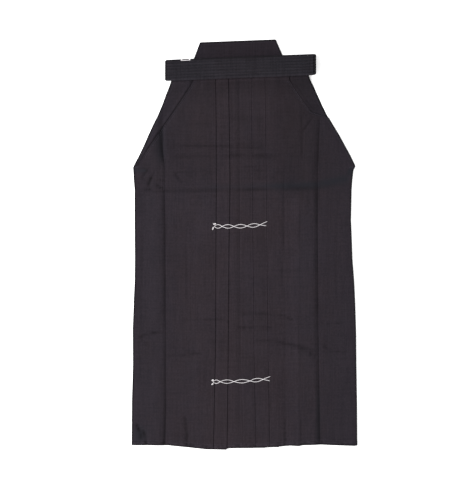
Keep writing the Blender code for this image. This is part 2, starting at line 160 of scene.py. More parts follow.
# Waist
TIE_LOW = 0.4050
TIE_HIGH = 0.4550
BOARD_TOP = [(-0.1076, 0.4924), (0.0754, 0.4995)]
BOARD_FOOT = [(-0.1387, 0.4102), (0.1101, 0.4201)]
BOARD_THICK = 0.0044
BAND_ENDS = (-0.1398, 0.1112)
FOLDED_ON = 0.0093
TAKEN_UP_TO = 0.0084
TIE_LAYER = 0.0015
BACK_TIE_LAYER = 0.0011
TIE_ROWS = 6
TIE_CORNER = 0.0036
TIE_SHIFTS = [
    # how far each layer is shifted along and across
    (0.0, 0.0011),
    (0.0012, 0.0004),
    (-0.0006, 0.0009),
    (0.0004, -0.0003),
]


def step01(value):
    return np.clip(value, 0.0, 1.0)


def ease(value):
    value = step01(value)
    return value * value * (3 - 2 * value)


def near(off, half):
    """1 on a line, falling smoothly to 0 beside it."""
    return np.exp(-((off / half) ** 2))


def column_at(rows, at, column):
    """One column of a table at each height or width."""
    table = np.array(sorted(rows))
    return np.interp(at, table[:, 0], table[:, column])


def soft_noise(x, y, cell_x, cell_y, seed):
    """Smooth uneven values from -1 to 1, in cells of a given size."""
    grid = np.random.default_rng(seed).uniform(-1, 1, (64, 64))
    u, v = x / cell_x + 1000.0, y / cell_y + 1000.0
    i, j = np.floor(u).astype(int), np.floor(v).astype(int)
    fu, fv = ease(u - i), ease(v - j)
    a = grid[i % 64, j % 64] * (1 - fu) + grid[(i + 1) % 64, j % 64] * fu
    b = grid[i % 64, (j + 1) % 64] * (1 - fu) + grid[(i + 1) % 64, (j + 1) % 64] * fu
    return a * (1 - fv) + b * fv


# Shape of the flat layers. It follows the solids, but the left leg's front edge bends out as in the photo.


def outline_x(y, side):
    return column_at(OUTLINE, y, side)


def front_edge_x(y, side):
    edge, outer = column_at(SIDE_OPENING, y, side), outline_x(y, side)
    slanted = np.maximum(edge, outer) if side == 1 else np.minimum(edge, outer)
    return np.where(y < OPENING_FOOT, outer, slanted)


def front_inward(x, y):
    """Distance in from the nearer side edge of the front."""
    return np.minimum(x - front_edge_x(y, 1), front_edge_x(y, 2) - x)


def back_inward(x, y):
    return np.minimum(x - outline_x(y, 1), outline_x(y, 2) - x)


def back_pleat_levels(x):
    right_end = BACK_PLEAT_EDGE - BACK_PLEAT_CLEAR
    left_end = BACK_PLEAT_EDGE + BACK_PLEAT_UNDER + BACK_PLEAT_CLEAR
    up = step01((x - right_end + BACK_PLEAT_RISE) / BACK_PLEAT_RISE)
    down = step01((left_end + BACK_PLEAT_RISE - x) / BACK_PLEAT_RISE)
    return 2 * np.minimum(up, down)


def front_lift(x):
    """How many layers the front is raised by what lies under it, in long soft slopes."""
    up = ease((x - FRONT_PLATEAU[0] + FRONT_RISE) / FRONT_RISE)
    down = ease((FRONT_PLATEAU[1] + FRONT_FALL - x) / FRONT_FALL)
    return 2 * np.minimum(up, down)


def gusset_out_x(y):
    share = step01((CROTCH_Y - y) / (CROTCH_Y - GUSSET_END_Y))
    return GUSSET_OUT_TOP + share * (GUSSET_OUT_END - GUSSET_OUT_TOP)


def front_base(x, y):
    beside = 1 - step01((np.abs(x) - gusset_out_x(y) - 0.004) / GUSSET_FADE)
    above = 1 - step01((y - CROTCH_Y - 0.004) / GUSSET_FADE)
    return WALL / 2 + PITCH * (1 + front_lift(x) + beside * above)


def waist_rise(x):
    """How far the tilted waist is raised at each place along it."""
    return WAIST_TILT * (x - TILT_CENTRE)


def tilt(x, y):
    fade = step01((y - WAIST_TILT_FROM) / (PANELS_TOP - WAIST_TILT_FROM))
    return waist_rise(x) * fade


def hem_drop(x, y, shorter):
    fade = step01((HEM_Y + HEM_FADE - y) / HEM_FADE)
    return (column_at(FRONT_HEM, x, 1) - shorter) * fade


def half_circle(x, y, base, low_level, facing, key, steps=8, pitch=PLEAT_PITCH):
    """Points of a folded edge between two layers, from the lower layer to the upper."""
    middle = x - facing * (pitch / 2 + WALL / 2)
    points = []
    for step in range(steps + 1):
        angle = math.pi * (step / steps - 0.5)
        out, up = pitch / 2 * math.cos(angle), pitch / 2 * (1 + math.sin(angle))
        points.append((middle + facing * out, base(middle, y) + pitch * low_level + up, key))
    return points


def spaced(start, end, count):
    """Places between two columns that move with the height, without the first."""
    return [start + (end - start) * k / count for k in range(1, count + 1)]


def front_side_points(y, side, start_x):
    """From the side of the leg, past the side crease, to the first pleat's edge."""
    sign = 1 if side == 1 else -1
    inner, outer = start_x * sign, front_edge_x(y, side) * sign
    hem = [outer + off for off in (0.0, 0.0008, 0.002, 0.0035, 0.005, 0.0062, 0.0074, 0.0088)]
    free = inner - PLEAT_UNDER - hem[-1]
    foot = inner - PLEAT_UNDER - np.minimum(STACK_FOOT, 0.6 * free)
    free = foot - hem[-1]
    crease = np.maximum(column_at(SIDE_CREASES, y, side) * sign, hem[-1] + np.minimum(0.0160, 0.5 * free))
    crease = np.minimum(crease, foot - np.minimum(0.0100, 0.3 * free))
    before, after = crease - np.minimum(0.0120, 0.3 * free), crease + np.minimum(0.0045, 0.2 * free)
    flats = hem + spaced(hem[-1], before, 18) + spaced(before, after, 22)
    flats += spaced(after, foot, 26) + spaced(foot, inner - PLEAT_UNDER - 0.0010, 18)
    flats += [inner - PLEAT_UNDER * share for share in (0.9, 0.8, 0.7, 0.6, 0.5, 0.4, 0.3, 0.2)]
    flats += [inner - FOLD_RADIUS - WALL / 2 - 0.0009]
    points = []
    for flat in flats:
        points += on_front([flat * sign], y, 2 * ease((flat - foot) / (inner - PLEAT_UNDER - 0.0010 - foot)))
    return points


def on_front(places, y, level, key=None):
    """Points of some columns on one level of the front's folds."""
    return [(x, front_base(x, y) + PLEAT_PITCH * level, x if key is None else key) for x in places]


def pleat_return(edge, y, facing):
    past, inner = edge + facing * 0.0006, edge - facing * PLEAT_UNDER
    points = half_circle(edge, y, front_base, 1, facing, past)[::-1]
    points += on_front([edge + (inner - edge) * share for share in (0.25, 0.5, 0.75)], y, 1, past)
    points += half_circle(inner, y, front_base, 0, -facing, past, 6)[::-1]
    return points + on_front([inner + (edge - inner) * share for share in (0.25, 0.5, 0.75, 1.0)], y, 0, past)


def between_pleats(edge, next_edge, y, facing, groove_foot):
    """The strip that shows between two edges: out of the groove beside one, up over the next one's folds."""
    start, end = edge + facing * 0.0010, next_edge - facing * (PLEAT_UNDER + 0.0010)
    points = []
    for share in (0.0, 0.06, 0.13, 0.22, 0.35, 0.50, 0.65, 0.78, 0.90, 1.0):
        level = groove_foot + (2.0 - groove_foot) * (0.30 * float(ease(share / 0.22)) + 0.70 * share)
        points += on_front([start + (end - start) * share], y, level)
    unders = (0.020, 0.018, 0.016, 0.014, 0.012, 0.010, 0.008, 0.006, 0.004, 0.0023)
    return points + on_front([next_edge - facing * under for under in unders], y, 2)


def front_right_section(y):
    first, second, third = [column_at(PLEAT_EDGES, y, column) for column in (1, 2, 3)]
    points = front_side_points(y, 1, first)
    points += pleat_return(first, y, 1)
    points += between_pleats(first, second, y, 1, 0.40)
    points += pleat_return(second, y, 1)
    seam = third + SEAM_UNDER - 0.0002
    return points + on_front([second + share * (seam - second) for share in np.linspace(0.04, 1.0, 20)], y, 0)


def front_left_section(y):
    third, fourth, fifth = [column_at(PLEAT_EDGES, y, column) for column in (3, 4, 5)]
    points = front_side_points(y, 2, fifth)
    points += pleat_return(fifth, y, -1)
    points += between_pleats(fifth, fourth, y, -1, 1.35)
    points += pleat_return(fourth, y, -1)
    points += between_pleats(fourth, third, y, -1, 1.25)
    points += half_circle(third, y, front_base, 1, -1, third)[::-1]
    points += on_front([third + share * PLEAT_UNDER for share in (0.25, 0.5, 0.75)], y, 1)
    points += half_circle(third + PLEAT_UNDER, y, front_base, 0, 1, third, 6)[::-1]
    return points + on_front([third + SEAM_UNDER + 0.006, third + SEAM_UNDER + 0.0002], y, 0)


def flat_floor(x, y):
    return WALL / 2 + 0 * x


def back_side_flats(y, side, last):
    """Places of columns on a back panel, finest where it shows beside the front's slanted edge."""
    sign = 1 if side == 1 else -1
    outer = outline_x(y, side) * sign + BACK_INSET
    flats = [outer + off for off in (0.0, 0.001, 0.003, 0.006, 0.009)]
    seen = np.maximum(front_edge_x(y, side) * sign, outer + 0.0260)
    flats += spaced(flats[-1], seen - 0.0120, 9) + spaced(seen - 0.0120, seen + 0.0040, 18)
    return flats + spaced(seen + 0.0040, last, 38)


def back_left_section(y):
    flat, edge, inner = 0 * y, BACK_PLEAT_EDGE + 0 * y, BACK_PLEAT_EDGE + BACK_PLEAT_UNDER + 0 * y
    points = [(-place, WALL / 2 + flat, -place) for place in back_side_flats(y, 2, -0.002)]
    points += half_circle(edge, y, flat_floor, 0, -1, edge, 8, PITCH)
    points.append((0.002 + flat, WALL / 2 + PITCH + flat, 0.002 + flat))
    points += half_circle(inner, y, flat_floor, 1, 1, inner, 8, PITCH)
    points.append((BACK_PLEAT_SEAM + 0.0002 + flat, WALL / 2 + 2 * PITCH + flat, BACK_PLEAT_SEAM + flat))
    return points


def back_right_section(y):
    foot = BACK_PLEAT_EDGE - BACK_PLEAT_CLEAR - BACK_PLEAT_RISE
    points = [(place, WALL / 2 + 0 * y, place) for place in back_side_flats(y, 1, foot)]
    for share in np.linspace(0.0, 1.0, 8)[1:]:
        x = foot + share * BACK_PLEAT_RISE + 0 * y
        points.append((x, WALL / 2 + 2 * PITCH * share + 0 * y, x))
    x = BACK_PLEAT_SEAM - 0.0002 + 0 * y
    points.append((x, WALL / 2 + 2 * PITCH + 0 * y, x))
    return points


def panel_grid(section, rows, shorter=0.0):
    """Rows by columns by 3: the middle of a panel's wall."""
    rows = np.array(rows)
    grid = []
    for column, (x, _, key) in enumerate(section(rows)):
        height = rows + tilt(x, rows) - hem_drop(key, rows, shorter)
        x_there, z_there, _ = section(height)[column]
        grid.append(np.stack([x_there, height, z_there], axis=-1))
    return np.stack(grid, axis=1)


# Creases that the garment kept from being folded away. Heights are in metres above the smooth cloth.

BLUE_CREASE = [
    (-0.262, 0.133), (-0.195, 0.131), (-0.06, 0.1325), (0.09, 0.135), (0.178, 0.1375), (0.246, 0.152),
]
CROSS_CREASES = [
    # half width, depth, points along it
    (0.004, -0.0017, BLUE_CREASE),
    (0.0028, -0.0017, [(-0.194, 0.2405), (-0.11, 0.242), (-0.02, 0.2375), (0.03, 0.2365), (0.078, 0.239)]),
    (0.0054, -0.0013, [(-0.19, 0.216), (-0.11, 0.2145), (0.0, 0.2175), (0.07, 0.216), (0.11, 0.219)]),
    (0.003, -0.0009, [(-0.02, 0.2455), (0.03, 0.248), (0.07, 0.2455)]),
    (0.0026, -0.0007, [(-0.18, 0.174), (-0.12, 0.1765), (-0.06, 0.175)]),
    (0.0026, -0.0008, [(-0.012, 0.1915), (0.02, 0.19), (0.06, 0.1925)]),
    (0.0026, -0.0015, [(-0.015, 0.179), (0.015, 0.1775), (0.062, 0.18)]),
    (0.0026, -0.0008, [(-0.012, 0.162), (0.03, 0.1605), (0.085, 0.163)]),
    (0.0026, -0.0006, [(-0.012, 0.113), (0.06, 0.111), (0.12, 0.115)]),
    (0.006, -0.0007, [(-0.04, 0.308), (0.01, 0.305), (0.07, 0.309)]),
    (0.0026, -0.0007, [(0.105, 0.215), (0.13, 0.217), (0.15, 0.212)]),
    (0.0026, -0.0006, [(-0.15, 0.295), (-0.11, 0.293), (-0.08, 0.296)]),
    (0.003, -0.0013, [(-0.01, -0.168), (0.02, -0.1685), (0.052, -0.169), (0.092, -0.173)]),
    (0.0028, -0.0012, [(-0.156, -0.185), (-0.09, -0.1842), (-0.036, -0.1803)]),
    (0.0028, -0.0015, [(-0.011, -0.2025), (0.074, -0.2025)]),
    (0.0036, -0.0018, [(0.02, -0.233), (0.07, -0.236), (0.12, -0.245), (0.176, -0.259)]),
    (0.0028, -0.001, [(-0.101, -0.2367), (-0.04, -0.2367)]),
    (0.0028, -0.0019, [(-0.261, -0.2275), (-0.2377, -0.2184), (-0.2181, -0.215), (-0.194, -0.2142)]),
    (0.0026, -0.0009, [(-0.256, -0.227), (-0.243, -0.237), (-0.23, -0.248)]),
    (0.0026, -0.0013, [(-0.19, -0.2735), (-0.164, -0.2705), (-0.145, -0.269), (-0.1, -0.264)]),
    (0.0026, -0.0012, [(-0.044, -0.185), (-0.025, -0.196), (-0.011, -0.2015), (0.008, -0.2025)]),
    (0.0028, -0.0017, [(0.084, -0.1725), (0.104, -0.1765), (0.123, -0.187)]),
    (0.0028, -0.0012, [(0.184, -0.24), (0.212, -0.259), (0.254, -0.263)]),
    (0.0026, -0.0009, [(0.184, -0.1925), (0.246, -0.192)]),
    (0.003, -0.0007, [(-0.146, -0.256), (-0.118, -0.264)]),
    (0.0026, -0.0007, [(-0.06, 0.02), (-0.015, 0.015), (0.03, 0.019)]),
    (0.0026, -0.0007, [(0.06, -0.06), (0.11, -0.064), (0.15, -0.061)]),
    (0.0028, -0.003, [(-0.219, 0.178), (-0.229, 0.159), (-0.236, 0.14)]),
    (0.0026, -0.0024, [(-0.231, 0.189), (-0.242, 0.174), (-0.252, 0.16)]),
    (0.0024, -0.002, [(-0.248, 0.135), (-0.236, 0.1345), (-0.224, 0.136)]),
    (0.0028, -0.0021, [(-0.217, 0.1475), (-0.207, 0.141), (-0.196, 0.1365)]),
    (0.0026, -0.0018, [(-0.172, 0.177), (-0.159, 0.16), (-0.148, 0.148)]),
    (0.0028, -0.0012, [(-0.214, 0.157), (-0.19, 0.156)]),
    (0.0026, -0.0011, [(0.158, 0.338), (0.165, 0.309), (0.151, 0.288), (0.137, 0.27)]),
    (0.0026, -0.0009, [(0.1395, 0.345), (0.1405, 0.28), (0.142, 0.21)]),
    (0.0024, 0.0008, [(-0.172, 0.227), (-0.11, 0.2285), (-0.066, 0.23)]),
    (0.007, -0.0013, [(0.13, -0.25), (0.156, -0.261), (0.179, -0.2765)]),
]
LONG_CREASES = [
    # half width, height, points along it
    (0.0026, -0.0009, [(0.0975, 0.2), (0.0962, 0.12), (0.0968, 0.0), (0.09, -0.145)]),
    (0.004, 0.0004, [(0.104, 0.2), (0.103, 0.12), (0.104, 0.0), (0.102, -0.145)]),
    (0.0028, -0.0022, [(0.1003, -0.42), (0.101, -0.493)]),
    (0.0036, -0.0006, [(0.1393, 0.15), (0.1345, 0.0), (0.1335, -0.2), (0.138, -0.38)]),
    (0.003, -0.0011, [(0.138, -0.425), (0.14, -0.493)]),
    (0.0036, -0.0006, [(-0.1401, 0.02), (-0.139, -0.16)]),
    (0.0038, -0.0034, [(-0.144, -0.415), (-0.14, -0.465), (-0.142, -0.505)]),
    (0.005, 0.0008, [(-0.1144, -0.265), (-0.113, -0.325), (-0.115, -0.38)]),
    (0.0036, -0.0006, [(-0.2462, 0.12), (-0.25, -0.1), (-0.2535, -0.36)]),
    (0.0036, -0.0048, [(-0.265, -0.436), (-0.2555, -0.456), (-0.25, -0.48)]),
    (0.0034, -0.0044, [(-0.249, -0.45), (-0.242, -0.468), (-0.237, -0.496)]),
    (0.0034, -0.0006, [(0.238, -0.41), (0.243, -0.488)]),
    (0.0034, -0.0006, [(0.224, 0.04), (0.226, -0.16)]),
    (0.0026, -0.0005, [(-0.03, 0.39), (-0.029, 0.2)]),
    (0.0026, -0.0005, [(0.037, 0.36), (0.0385, 0.15)]),
]
SIDE_CREASE_DEPTH = [
    # y, right leg: height of the roll, its width, left leg: height, width
    (0.3400, 0.0020, 0.0200, 0.0006, 0.0100),
    (0.2900, 0.0060, 0.0190, 0.0025, 0.0110),
    (0.2450, 0.0070, 0.0190, 0.0037, 0.0120),
    (0.2100, 0.0056, 0.0150, 0.0046, 0.0130),
    (0.1850, 0.0012, 0.0080, 0.0041, 0.0140),
    (0.1500, 0.0014, 0.0090, 0.0036, 0.0150),
    (0.1200, 0.0034, 0.0130, 0.0043, 0.0160),
    (0.0000, 0.0046, 0.0145, 0.0050, 0.0155),
    (-0.1400, 0.0044, 0.0145, 0.0048, 0.0150),
    (-0.2000, 0.0022, 0.0110, 0.0034, 0.0140),
    (-0.2650, 0.0024, 0.0110, 0.0050, 0.0220),
    (-0.3300, 0.0032, 0.0130, 0.0042, 0.0150),
    (-0.4900, 0.0040, 0.0150, 0.0040, 0.0150),
]


def along_line(x, y, points):
    """Distance of each place from a drawn line, and how far along the line it is, from 0 to 1."""
    points = np.array(points)
    lengths = np.hypot(*np.diff(points, axis=0).T)
    walked = np.concatenate([[0.0], np.cumsum(lengths)])
    nearest, share = np.full(x.shape, 9.0), np.zeros(x.shape)
    for (x0, y0), (x1, y1), start, length in zip(points, points[1:], walked, lengths):
        t = step01(((x - x0) * (x1 - x0) + (y - y0) * (y1 - y0)) / length**2)
        off = np.hypot(x - x0 - t * (x1 - x0), y - y0 - t * (y1 - y0))
        nearer = off < nearest
        nearest = np.where(nearer, off, nearest)
        share = np.where(nearer, (start + t * length) / walked[-1], share)
    return nearest, share


def roll_and_line(off, width, reach=0.040):
    """Section across a side crease: a swell that bends over into a sharp line and comes slowly back."""
    fall = step01((off + width) / width)
    swell = ease((off + width + reach) / reach) * (1 - 0.35 * fall**1.5 - 0.65 * fall**3)
    beyond = 0.22 * ease(off / 0.0030) * (1 - ease((off - 0.0050) / 0.0300))
    return swell + beyond


def crease_sum(x, y, rows, as_painted_shade=False):
    """Height of the drawn creases, or the painted shade along their sunk lines."""
    total = 0 * x
    for number, (half, height, points) in enumerate(rows):
        off, share = along_line(x, y, points)
        taper = ease(share / 0.15) * ease((1 - share) / 0.15)
        uneven = 0.85 + 0.55 * soft_noise(share, share * 0 + number, 0.11, 1.0, 7)
        amount = (height < 0) * abs(height) / 0.0012 if as_painted_shade else height
        total = total + amount * uneven * taper * near(off, half)
    return total


SHADE_ACROSS_FRONT = [
    # x, how much painted shade (above 0) or painted light (below 0) the front gets there
    (-0.0235, 0.00),
    (-0.0118, 0.30),
    (-0.0102, -0.12),
    (-0.0020, 0.00),
    (0.0580, -0.02),
    (0.0740, -0.20),
    (0.0920, -0.22),
    (0.0980, 0.00),
    (0.1015, -0.28),
    (0.1295, -0.24),
    (0.1350, 0.20),
    (0.1520, 0.20),
    (0.1700, 0.00),
]
SIDE_CREASE_SHADE = [
    # side, darkest this far before the line, half width, darkness low down, how much less beside the opening
    (1, 0.0022, 0.0048, 0.46, 0.10),
    (2, 0.0036, 0.0062, 0.48, 0.38),
]


def front_relief(x, y):
    """Creases and softness of the front, added to every front layer alike."""
    inward, above = front_inward(x, y), y - hem_line(x)
    relief = 0.0010 * ease(inward / 0.020)
    wave = 0.00045 * soft_noise(x, y, 0.050, 0.080, 3) + 0.00018 * soft_noise(x, y, 0.011, 0.090, 4)
    wave += 0.00016 * soft_noise(x, y, 0.080, 0.014, 9) + 0.00020 * soft_noise(x, y, 0.017, 0.013, 5)
    relief += wave * ease(inward / 0.012)
    for side, depth_column in ((1, 1), (2, 3)):
        centre, edge = column_at(SIDE_CREASES, y, side), front_edge_x(y, side)
        room = ease(((centre - edge) if side == 1 else (edge - centre)) / 0.012)
        uneven = 1 + 0.14 * soft_noise(x * 0, y, 1.0, 0.026, 6 + side)
        depth, width = [column_at(SIDE_CREASE_DEPTH, y, depth_column + k) for k in (0, 1)]
        relief += room * uneven * depth * roll_and_line(x - centre, width)
    relief += 1.5 * crease_sum(x, y, CROSS_CREASES) + 1.3 * crease_sum(x, y, LONG_CREASES)
    relief += 0.00030 * soft_noise(x, y * 0, 0.0050, 1.0, 8) * near(above - 0.008, 0.008)
    relief -= 0.00030 * near(above - HEM_BAND, 0.0014)
    relief -= 0.00025 * (y > OPENING_FOOT) * near(inward - EDGE_TURN, 0.0010)
    return np.maximum(relief, -0.0003) * ease((0.398 - y) / 0.030)


def hem_line(x):
    return HEM_Y - column_at(FRONT_HEM, x, 1)


def back_relief(x, y):
    """How far the back rises from the floor where it shows beside the side openings."""
    rise = 0 * x
    for side, sign, swell in ((1, 1, 0.0024), (2, -1, 0.0009)):
        beside = (front_edge_x(y, side) - x) * sign
        shown = (front_edge_x(y, side) - outline_x(y, side)) * sign
        room = ease((shown - 0.004) / 0.016) * ease((0.402 - y) / 0.020)
        roll = ease((0.0115 - beside) / 0.0085) * ease((beside - 0.0002) / 0.0024)
        rise = rise + swell * room * roll * (1 + 0.15 * soft_noise(x * 0, y, 1.0, 0.020, 14))
    centre = column_at(SIDE_CREASES, y, 1)
    fade = ease((y - 0.215) / 0.030) * ease((0.372 - y) / 0.030)
    outside = ease((front_edge_x(y, 1) - x - 0.003) / 0.006)
    rise = rise + fade * outside * 0.0030 * roll_and_line(x - centre, 0.0120, 0.0150)
    return rise * ease((back_inward(x, y) - 0.0009) / 0.004)


def back_thickening(x, y):
    rough = 0.00020 * soft_noise(x, y, 0.020, 0.030, 11) + 0.00014 * soft_noise(x, y, 0.007, 0.020, 12)
    inward = back_inward(x, y)
    seam = -0.00018 * near(inward - 0.0065, 0.0010) * (y > OPENING_FOOT)
    return (rough + seam + 0.0003) * ease(inward / 0.006)


# Mesh making


def normals_of(grid):
    down, across = np.gradient(grid, axis=0), np.gradient(grid, axis=1)
    normal = np.cross(across, down)
    return normal / np.maximum(np.linalg.norm(normal, axis=-1, keepdims=True), 1e-12)


def mesh_from(name, verts, faces):
    mesh = bpy.data.meshes.new(name)
    mesh.from_pydata(verts.tolist(), [], faces)
    mesh.update()
    mesh.shade_smooth()
    piece = bpy.data.objects.new(name, mesh)
    bpy.context.scene.collection.objects.link(piece)
    return piece


def cloth_shell(name, grid, thickness, flip=False, painted_shade_and_tone=None, faded=None, rim_painted_shade=0.9):
    """Closed thin wall with rounded edges around a grid of middle points. One attribute darkens it with
    painted shade and some uneven tone, its rim points' value included; faded makes it bluer.
    """
    rows, columns = grid.shape[:2]
    normal = normals_of(grid) * (-1 if flip else 1)
    half = (np.zeros((rows, columns)) + thickness)[..., None] / 2
    ring = [(0, j) for j in range(columns)] + [(i, columns - 1) for i in range(1, rows)]
    ring += [(rows - 1, j) for j in range(columns - 2, -1, -1)] + [(i, 0) for i in range(rows - 2, 0, -1)]
    ring = np.array(ring)
    inner = np.clip(ring, [1, 1], [rows - 2, columns - 2])
    out = grid[ring[:, 0], ring[:, 1]] - grid[inner[:, 0], inner[:, 1]]
    out /= np.maximum(np.linalg.norm(out, axis=-1, keepdims=True), 1e-12)
    rim = grid[ring[:, 0], ring[:, 1]] + out * half[ring[:, 0], ring[:, 1]] * 0.8
    walls = [(grid + normal * half).reshape(-1, 3), (grid - normal * half).reshape(-1, 3)]
    verts = np.concatenate([*walls, rim])
    count = rows * columns
    index = np.arange(count).reshape(rows, columns)
    a, b, c, d = index[:-1, :-1], index[1:, :-1], index[1:, 1:], index[:-1, 1:]
    upper = np.stack([a, b, c, d], axis=-1).reshape(-1, 4)
    lower = np.stack([a, d, c, b], axis=-1).reshape(-1, 4) + count
    edge, rim_at = index[ring[:, 0], ring[:, 1]], 2 * count + np.arange(len(ring))
    after, rim_after = np.roll(edge, -1), np.roll(rim_at, -1)
    side_up = np.stack([edge, after, rim_after, rim_at], axis=-1)
    side_low = np.stack([rim_at, rim_after, after + count, edge + count], axis=-1)
    faces = np.concatenate([upper, lower, side_up, side_low])
    piece = mesh_from(name, verts, (faces[:, ::-1] if flip else faces).tolist())
    for label, values, rim_value in (("painted_shade_and_tone", painted_shade_and_tone, rim_painted_shade), ("faded", faded, 0.0)):
        values = (np.zeros((rows, columns)) + (0 if values is None else np.minimum(values, 2.0))).ravel()
        kept = piece.data.attributes.new(label, "FLOAT", "POINT")
        kept.data.foreach_set("value", np.concatenate([values, values, np.full(len(ring), rim_value)]))
    return piece


def painted_rim_shade(distance):
    """Darker rim of a piece: painted shade where its folded edge rounds away from the light."""
    return near(distance, 0.0027)


def painted_shade_of_front(x, y):
    """Painted shade and light across the front: darker or lighter along its pleat and crease lines, and
    darker towards both openings and both sides, where less light falls.
    """
    lower = column_at(SHADE_ACROSS_FRONT, x, 1) * np.maximum(ease((0.150 - y) / 0.050), x < 0.0)
    left_leg = 0.34 * ease((x - 0.083) / 0.030) * ease((y - 0.085) / 0.060)
    left_leg = left_leg * (1 + 0.28 * ease((x - 0.128) / 0.014) - 0.75 * ease((x - 0.180) / 0.012))
    right_leg = 0.16 * ease((-0.070 - x) / 0.020) * ease((y - 0.110) / 0.100)
    far = 0.11 * ease((-0.196 - x) / 0.010) + (0.03 + 0.06 * ease(-y / 0.15)) * ease((x - 0.188) / 0.010)
    return lower + left_leg + right_leg + far


def side_crease_shade(x, y):
    """Darkness of the sunk lines of the side creases, widest on the right leg beside its opening."""
    total = 0 * x
    upper = ease((y - 0.110) / 0.050)
    for side, before, half, strength, less in SIDE_CREASE_SHADE:
        off = x - column_at(SIDE_CREASES, y, side)
        uneven = 1 + 0.35 * soft_noise(x * 0, y, 1.0, 0.030, 50 + side) + 0.75 * ease((-0.33 - y) / 0.08)
        line = near(off + before, half) * ease((0.352 - y) / 0.02)
        total = total + (strength - less * upper) * uneven * line
    off = x - column_at(SIDE_CREASES, y, 1)
    wedge = ease((y - 0.196) / 0.020) * ease((0.318 - y) / 0.030)
    spread = 0.0020 + 0.0030 * ease((y - 0.200) / 0.050)
    slow = 0.32 * ease((off + 0.0260) / 0.0220) * (1 - ease((off - 0.0010) / 0.0040))
    return total + wedge * (0.16 * near(off + 0.0030, spread) + slow - 0.45 * near(off - 0.0060, 0.0042))


def below_belt_shade(x, y):
    """Painted shade, softly darker towards the ties, and painted light close under them and towards their
    ends, where their shadow falls.
    """
    height = y - waist_rise(x)
    towards_ends = 0.28 * ease((-0.085 - x) / 0.025) + 0.20 * ease((x - 0.085) / 0.025)
    painted_light_near_ties = 0.85 * ease((height - 0.3965) / 0.0040) + towards_ends * ease((height - 0.380) / 0.012)
    return 0.36 * ease((height - 0.350) / 0.045) - painted_light_near_ties


def close_rows(top, bottom, spacing, fine_at_bottom=0.016):
    """Heights of rows from top to bottom, closer together near the hem."""
    coarse = np.arange(top, bottom + fine_at_bottom, -spacing)
    fine = np.linspace(bottom + fine_at_bottom, bottom, 12)
    return np.concatenate([coarse[coarse > bottom + fine_at_bottom + spacing * 0.4], fine])


def front_painted_shade(x, y, inward):
    """Painted shade of the front: darker rims and hem, darker towards the waist and the ties, across it and
    along its creases, with painted light in the shadows beside the last two pleats' edges.
    """
    opening = y > OPENING_FOOT
    left_edge = 0.25 + 1.65 * ease((0.334 - y) / 0.020)
    edge = np.where(opening & (x > 0.05), left_edge, np.where(opening, 0.75, 1.75))
    painted_shade_and_tone = np.maximum(edge * painted_rim_shade(inward), 1.25 * painted_rim_shade(y - hem_line(x))) + painted_shade_of_front(x, y)
    painted_shade_and_tone = painted_shade_and_tone + 0.10 * ease((y - 0.11) / 0.16) + below_belt_shade(x, y) + side_crease_shade(x, y)
    painted_shade_and_tone = painted_shade_and_tone + 0.50 * crease_sum(x, y, CROSS_CREASES, True) + 0.34 * crease_sum(x, y, LONG_CREASES, True)
    for pleat in (4, 5):
        beside = x - column_at(PLEAT_EDGES, y, pleat) + 0.0018
        painted_shade_and_tone = painted_shade_and_tone - 0.70 * near(beside, 0.0015) * ease((y + 0.330) / 0.060)
    return painted_shade_and_tone


def blue_band(x, y):
    """Blue mark along the crease that crosses both legs, stronger and wider towards the left leg's side."""
    off, share = along_line(x, y - 0.008, BLUE_CREASE)
    fading = 0.35 * ease((share - 0.27) / 0.10) + 0.65 * ease((share - 0.52) / 0.18)
    return near(off, 0.0035 + 0.0070 * share) * fading


def make_front(name, section, flip):
    grid = panel_grid(section, close_rows(PANELS_TOP, HEM_Y, 0.0046))
    x, y = grid[..., 0], grid[..., 1]
    grid[..., 2] += front_relief(x, y)
    taken_up = ease((y - 0.366 - waist_rise(x)) / 0.034)
    grid[..., 2] += taken_up * np.maximum(TAKEN_UP_TO - front_base(x, y) - 2 * PLEAT_PITCH, 0)
    inward = front_inward(x, y)
    turned = ease((hem_line(x) + HEM_BAND - y) / 0.0012)
    turned = np.maximum(turned, (y > OPENING_FOOT) * ease((EDGE_TURN - inward) / 0.0010))
    grid[..., 2] += 0.00012 * turned
    painted_shade_and_tone = front_painted_shade(x, y, inward)
    corner = near(y - 0.1805, 0.0034) * ease((0.034 - inward) / 0.006) * (x < 0)
    hem_row = near(y - hem_line(x) - 0.0062, 0.0034)
    painted_shade_and_tone = painted_shade_and_tone - 0.30 * corner - (0.24 + 1.30 * soft_noise(x, y, 0.0044, 0.0030, 41)) * hem_row
    corner = np.maximum(corner, ease((0.0150 - inward) / 0.004) * near(y - 0.178, 0.0130) * (x > 0))
    damp = near(x + 0.2560, 0.018) * near(y + 0.4640, 0.022)
    wedge = near(x + 0.2030, 0.010) * ease((y - 0.190) / 0.03) * ease((0.300 - y) / 0.03)
    low_crease = near(x - 0.1800, 0.006) * ease((-0.33 - y) / 0.06)
    faded = [blue_band(x, y), corner, 0.30 * hem_row, 0.8 * damp, 0.7 * wedge, 0.5 * low_crease]
    return cloth_shell(name, grid, CLOTH + 0.00024 * turned, flip, painted_shade_and_tone, np.maximum.reduce(faded), 1.3)


